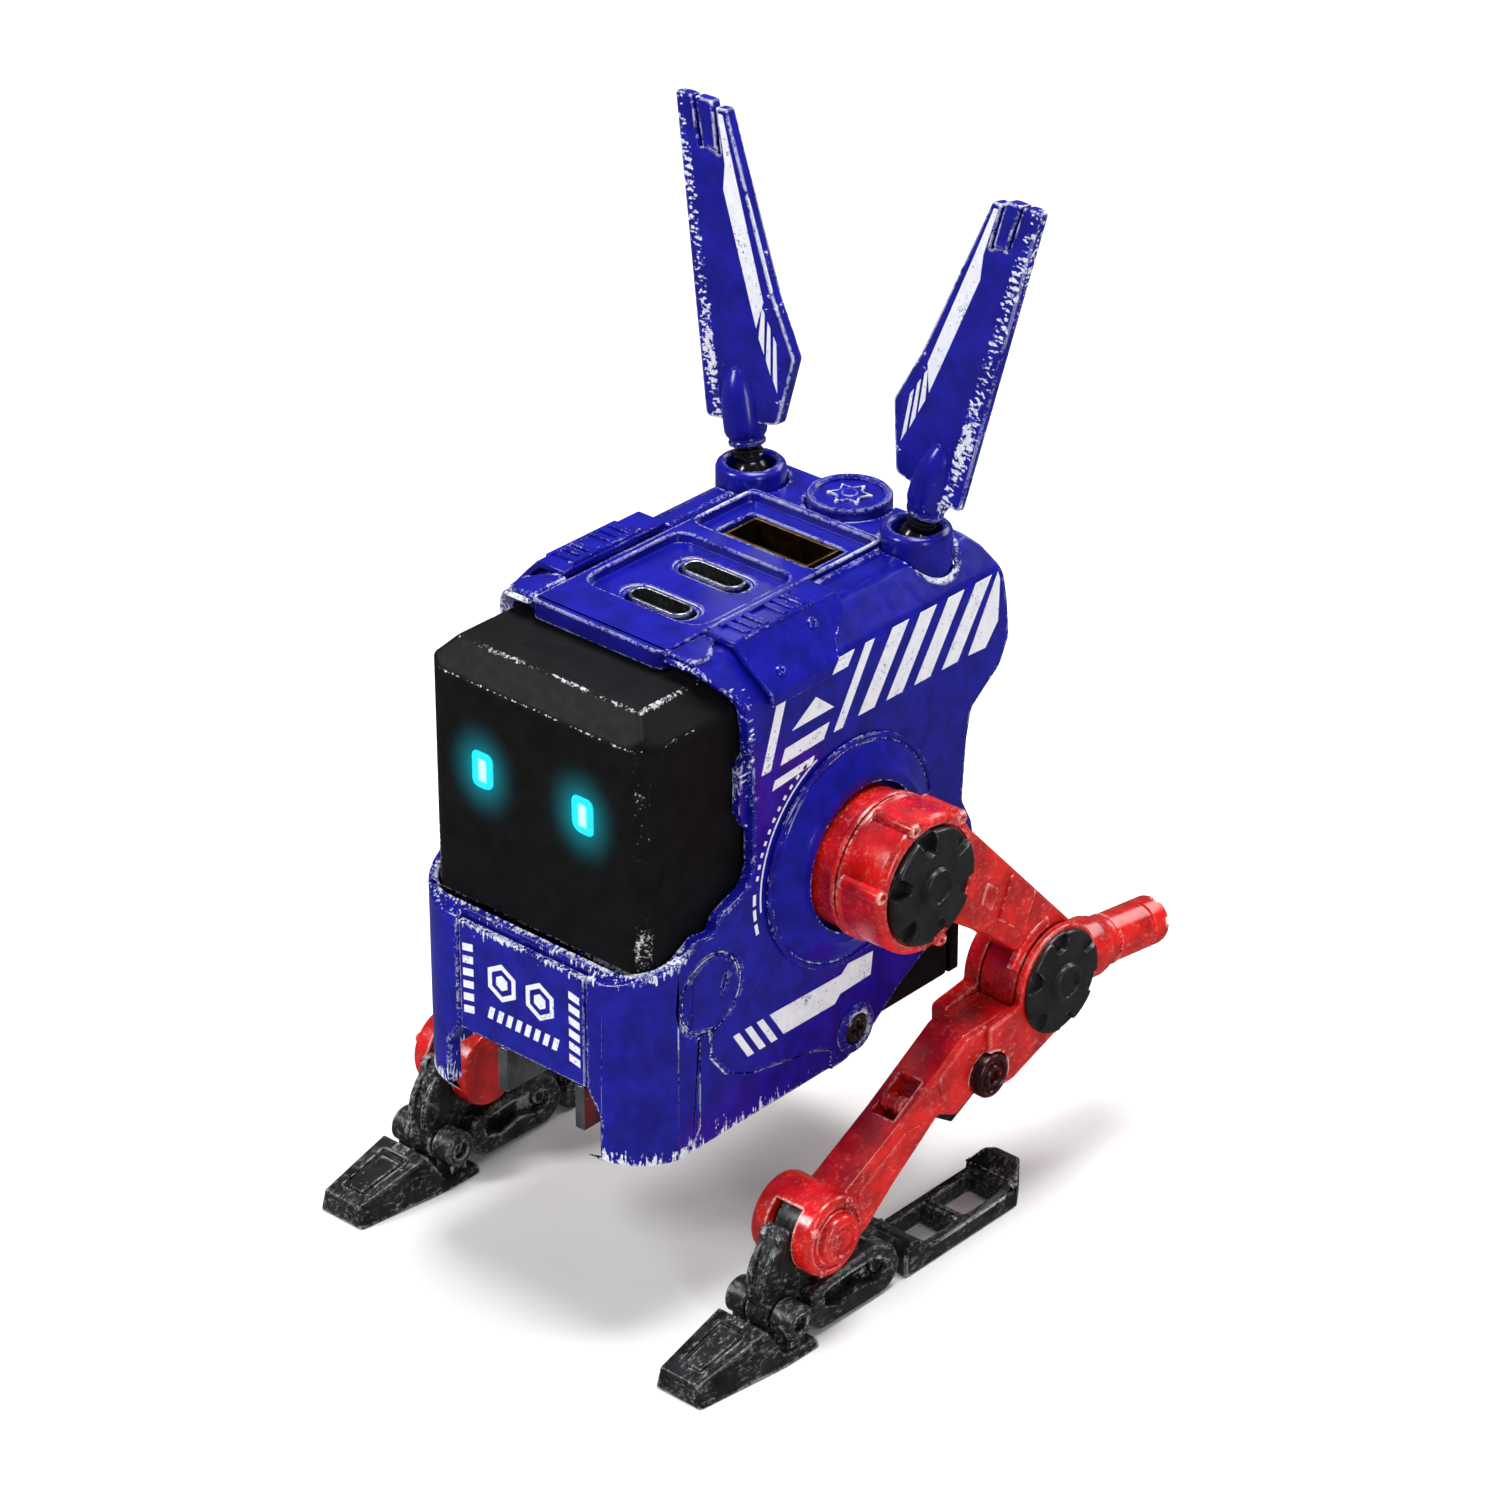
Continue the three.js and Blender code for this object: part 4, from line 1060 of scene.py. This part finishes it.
BALL = Vector((13.2, 55.5, 86.3))
EAR_W = Vector((0.238, 0.093, 0.967)).normalized()
EAR_U = Vector((1, -0.125, 0))
EAR_U = (EAR_U - EAR_W * EAR_U.dot(EAR_W)).normalized()
EAR_V = EAR_W.cross(EAR_U)


def in_ear(u, v, w):
    """Ear frame: u across the blade, v through it, w up the stem."""
    return tuple(BALL + EAR_U * u + EAR_V * v + EAR_W * w)


stem_ball = [
    (2.4 * math.cos(t), 2.4 * math.sin(t))
    for t in [-math.pi / 2 + math.pi * 0.74 * k / 14 for k in range(1, 15)]
]
stem = turned("z", [
    (0, -2.4), *stem_ball, (1.8, 1.9), (1.85, 2.4), (1.7, 2.55), (1.7, 2.75), (1.85, 2.9), (1.75, 3.2),
    (1.2, 3.3), (1.2, 6.6), (0, 6.6)
], (0, 0), 56, in_ear)
pair("ear_stem", stem, "black_gloss")
blade_outline = [(-5.4, 6.3), (5.4, 7.2), (3.9, 47.6), (-3.2, 45.6), (-6.9, 22.5), (-9.0, 14.5)]
blade = common(
    prism("y", soften(blade_outline, [0.8, 0.8, 0.5, 0.5, 1.0, 1.0]), -0.95, 0.95, in_ear),
    prism(
        "z", [(-12, -0.95), (2.6, -0.95), (5.9, -0.3), (5.9, 0.3), (2.6, 0.95), (-12, 0.95)], 0, 60, in_ear
    ),
)
gaps = [prism("y", [(a - 0.25, low), (a + 0.25, low), (b + 0.25, 50), (b - 0.25, 50)], -2, 2, in_ear)
        for a, b, low in ((-1.5, -1.7, 39.6), (1.0, 1.3, 40.6))]
steps = [prism("y", [(-3.9, 44.9), (-1.6, 45.4), (-1.6, 50), (-3.9, 50)], -2, 2, in_ear)]
creases = [prism("y", soften([(-1.5, 40.2), (1.0, 41.0), (1.0, 40.7), (-1.5, 39.8)], 0.05), a, b, in_ear)
           for a, b in ((-2, -0.7), (0.7, 2))]
slits = [prism("y", [(-6.8, 22.9), (-4.9, 34.4), (-5.2, 34.5), (-7.1, 22.9)], a, b, in_ear)
         for a, b in ((-2, -0.75), (0.75, 2))]
bulb = turned("z", [
    (0, 3.6), (1.95, 3.6), (2.25, 3.8), (2.35, 4.2), (2.2, 4.45), (2.2, 4.7), (2.5, 5.0), (2.68, 5.6),
    (2.7, 7.6), (2.6, 9.2), (2.35, 10.6), (1.95, 11.9), (1.4, 13.0), (0.8, 13.8), (0.3, 14.15), (0, 14.2),
], (0, 0), 64, in_ear)
blade = join(bevelled(cut(blade, *gaps, *steps, *creases, *slits), 0.16, 2, 25), bulb)
blade = cut(blade, turned("z", [(0, 0), (1.5, 0), (1.5, 7.0), (0, 7.0)], (0, 0), 24, in_ear))
own = blade.attributes.new("ear", "FLOAT_VECTOR", "POINT")
for vertex, slot_value in zip(blade.vertices, own.data):
    away = vertex.co / MM - Vector((0, COLLAR_Y, 0)) - BALL
    slot_value.vector = (away.dot(EAR_U), away.dot(EAR_V), away.dot(EAR_W))
pair("ear_blade", blade, "blue_ear")

# --------------------------------------------------------------------- decals


def slanted(low, width, z, lean):
    """A leaning stripe: its low edge from `low`, between two heights."""
    return [(low, z[0]), (low + width, z[0]), (low + width + lean, z[1]), (low + lean, z[1])]


def ring(centre, r, thick, start, stop, n=16):
    angles = [start + (stop - start) * k / n for k in range(n + 1)]
    return [polar(centre, r + thick, a) for a in angles] + [polar(centre, r, a) for a in reversed(angles)]


side_marks = [slanted(y, 2.9, (72.0, 81.3), 6.1) for y in (37.4, 42.5, 47.6, 52.7)]
side_marks += [[(57.6, 72.0), (60.8, 71.8), (63.1, 74.6), (63.3, 80.2), (62.9, 81.3)]]
side_marks += [
    slanted(20.3, 1.6, (71.0, 81.2), 3.2), slanted(33.0, 1.6, (71.6, 81.2), 5.6),
    [(23.6, 71.0), (31.2, 71.4), (32.2, 73.3), (24.4, 72.9)],
    [(26.6, 79.2), (35.4, 79.4), (36.6, 81.2), (27.4, 81.0)], [(25.6, 74.8), (33.0, 75.0), (29.8, 77.6)],
    [(22.2, 68.2), (29.2, 68.9), (29.6, 69.9), (22.6, 69.4)]
]
side_marks += [
    ring(HIP, 15.75, 0.24, 112, 186, 26), ring(HIP, 16.7, 0.5, 176, 181, 3),
    ring(HIP, 16.7, 0.5, 183, 188, 3), ring(HIP, 16.7, 0.5, 190, 195, 3)
]
side_marks += [ring(HIP, 16.5, 0.42, a, a + 2.0, 2) for a in range(118, 173, 5)]
side_marks += [slanted(y, 1.1, (33.9, 37.9), -2.6) for y in (17.9, 20.0, 22.1)]
side_marks += [[
    (24.3, 34.1), (33.6, 34.0), (34.6, 35.0), (40.2, 35.2), (40.6, 38.3), (36.0, 38.6), (34.8, 37.6),
    (21.8, 37.9)
]]
front_marks = []
for side in (-1, 1):
    for k in range(6):
        z = 36.4 + 1.72 * k
        front_marks.append(
            [(side * 9.5, z), (side * 7.8, z + 0.35), (side * 7.8, z + 1.35), (side * 9.5, z + 1.0)]
        )
hexagon = [polar((0, 0), 1, 60 * k + 30) for k in range(6)]
for x, size in ((-3.1, 2.6), (3.1, 2.6)):
    for k in range(6):
        (a, b), (c, d) = hexagon[k - 1], hexagon[k]
        front_marks.append([
            (x + a * size, 42.9 + b * size), (x + c * size, 42.9 + d * size),
            (x + c * size * 0.72, 42.9 + d * size * 0.72), (x + a * size * 0.72, 42.9 + b * size * 0.72)
        ])
    front_marks.append([(x + a * 1.05, 42.9 + b * 1.05) for a, b in hexagon])
front_marks += [slanted(x, 0.8, (37.2, 38.9), 0.5) for x in (-5.6, -4.1, -2.6, -1.1, 0.4, 1.9, 3.4, 4.9)]
ear_marks = [
    [(-2.75, 44.4), (-2.1, 44.6), (-2.25, 38.4), (-1.6, 35.4), (-4.0, 18.4), (-5.5, 21.6), (-3.5, 37.6)],
    [(-5.5, 20.2), (-5.2, 20.9), (-4.2, 17.2), (-4.7, 15.2)],
    [(-6.1, 18.4), (-5.8, 19.2), (-4.9, 14.4), (-5.3, 12.6)],
    [(-6.7, 16.6), (-6.4, 17.4), (-5.6, 12.0), (-6.0, 10.4)],
]


def flat_marks(outlines, place):
    """Thin printed shapes, a few hundredths of a millimetre proud of the surface."""
    bm = bmesh.new()
    for outline in outlines:
        n = len(outline)
        verts = [bm.verts.new(pt(*place(u, v, d))) for d in (0.06, 0.0) for u, v in outline]
        faces = [bm.faces.new(verts[:n]), bm.faces.new(verts[:n - 1:-1])]
        faces += [
            bm.faces.new((verts[(i + 1) % n], verts[i], verts[n + i], verts[n + (i + 1) % n]))
            for i in range(n)
        ]
        bmesh.ops.recalc_face_normals(bm, faces=faces)
    return to_mesh(bm)


trim("side_marks", flat_marks(side_marks, lambda y, z, d: (SIDE - 0.01 + d, y, z)), "root", "print_white")
piece("front_marks", flat_marks(front_marks, lambda x, z, d: (x, 0.01 - d, z)), "root", "print_white")
trim(
    "ear_marks_front", flat_marks(ear_marks, lambda u, w, d: in_ear(u, -0.94 - d, w)), "ear_r",
    "print_white"
)
trim(
    "ear_marks_back", flat_marks(ear_marks, lambda u, w, d: in_ear(u, 0.94 + d, w)), "ear_r", "print_white"
)

# ------------------------------------------------------- floor, light, camera


def stage_mesh(name, faces, points):
    data = bpy.data.meshes.new(name)
    data.from_pydata(points, [], faces)
    obj = bpy.data.objects.new(name, data)
    bpy.context.scene.collection.objects.link(obj)
    return obj


floor = stage_mesh("floor", [(0, 1, 2, 3)], [(-4, -4, 0), (4, -4, 0), (4, 4, 0), (-4, 4, 0)])
net = Net("floor")
net.set(Base_Color=net.mix(net.noise(0.02), colour(246, 246, 247), colour(250, 250, 250)), Roughness=0.9)
floor.data.materials.append(net.mat)


def area_light(name, at, aim, size, power, tint=(1, 1, 1)):
    data = bpy.data.lights.new(name, "AREA")
    data.shape = "RECTANGLE"
    data.size, data.size_y = size
    data.energy = power
    data.color = tint
    obj = bpy.data.objects.new(name, data)
    obj.location = at
    obj.rotation_euler = (Vector(aim) - Vector(at)).to_track_quat("-Z", "Y").to_euler()
    bpy.context.scene.collection.objects.link(obj)


MIDDLE = (0, 0, 0.06)
area_light("key_left", (-0.4, -0.62, 0.62), MIDDLE, (0.2, 0.3), 5.4)
area_light("fill_right", (0.8, -0.3, 0.4), MIDDLE, (0.12, 0.5), 2.2)
area_light("top", (0.05, 0.1, 0.9), MIDDLE, (0.4, 0.4), 9.0)
area_light("rear", (0.1, 0.8, 0.55), MIDDLE, (0.6, 0.3), 3.0)
floor.visible_glossy = False

world = bpy.data.worlds.new("studio")
bpy.context.scene.world = world
world.use_nodes = True
world.node_tree.nodes["Background"].inputs["Color"].default_value = (1, 1, 1, 1)
world.node_tree.nodes["Background"].inputs["Strength"].default_value = 0.14
bpy.context.scene.view_settings.view_transform = "Standard"

CAMERA_AZ, CAMERA_EL = math.radians(41.75), math.radians(29.0)
camera = bpy.data.cameras.new("camera")
camera.sensor_width = 36
camera.lens = 129.6
camera.clip_start, camera.clip_end = 0.05, 20
camera_obj = bpy.data.objects.new("camera", camera)
camera_obj.location = (0.381115, -0.427103, 0.376056)
away = Vector((-math.sin(CAMERA_AZ) * math.cos(CAMERA_EL), math.cos(CAMERA_AZ) * math.cos(CAMERA_EL),
               -math.sin(CAMERA_EL)))
camera_obj.rotation_euler = away.to_track_quat("-Z", "Y").to_euler()
bpy.context.scene.collection.objects.link(camera_obj)
bpy.context.scene.camera = camera_obj
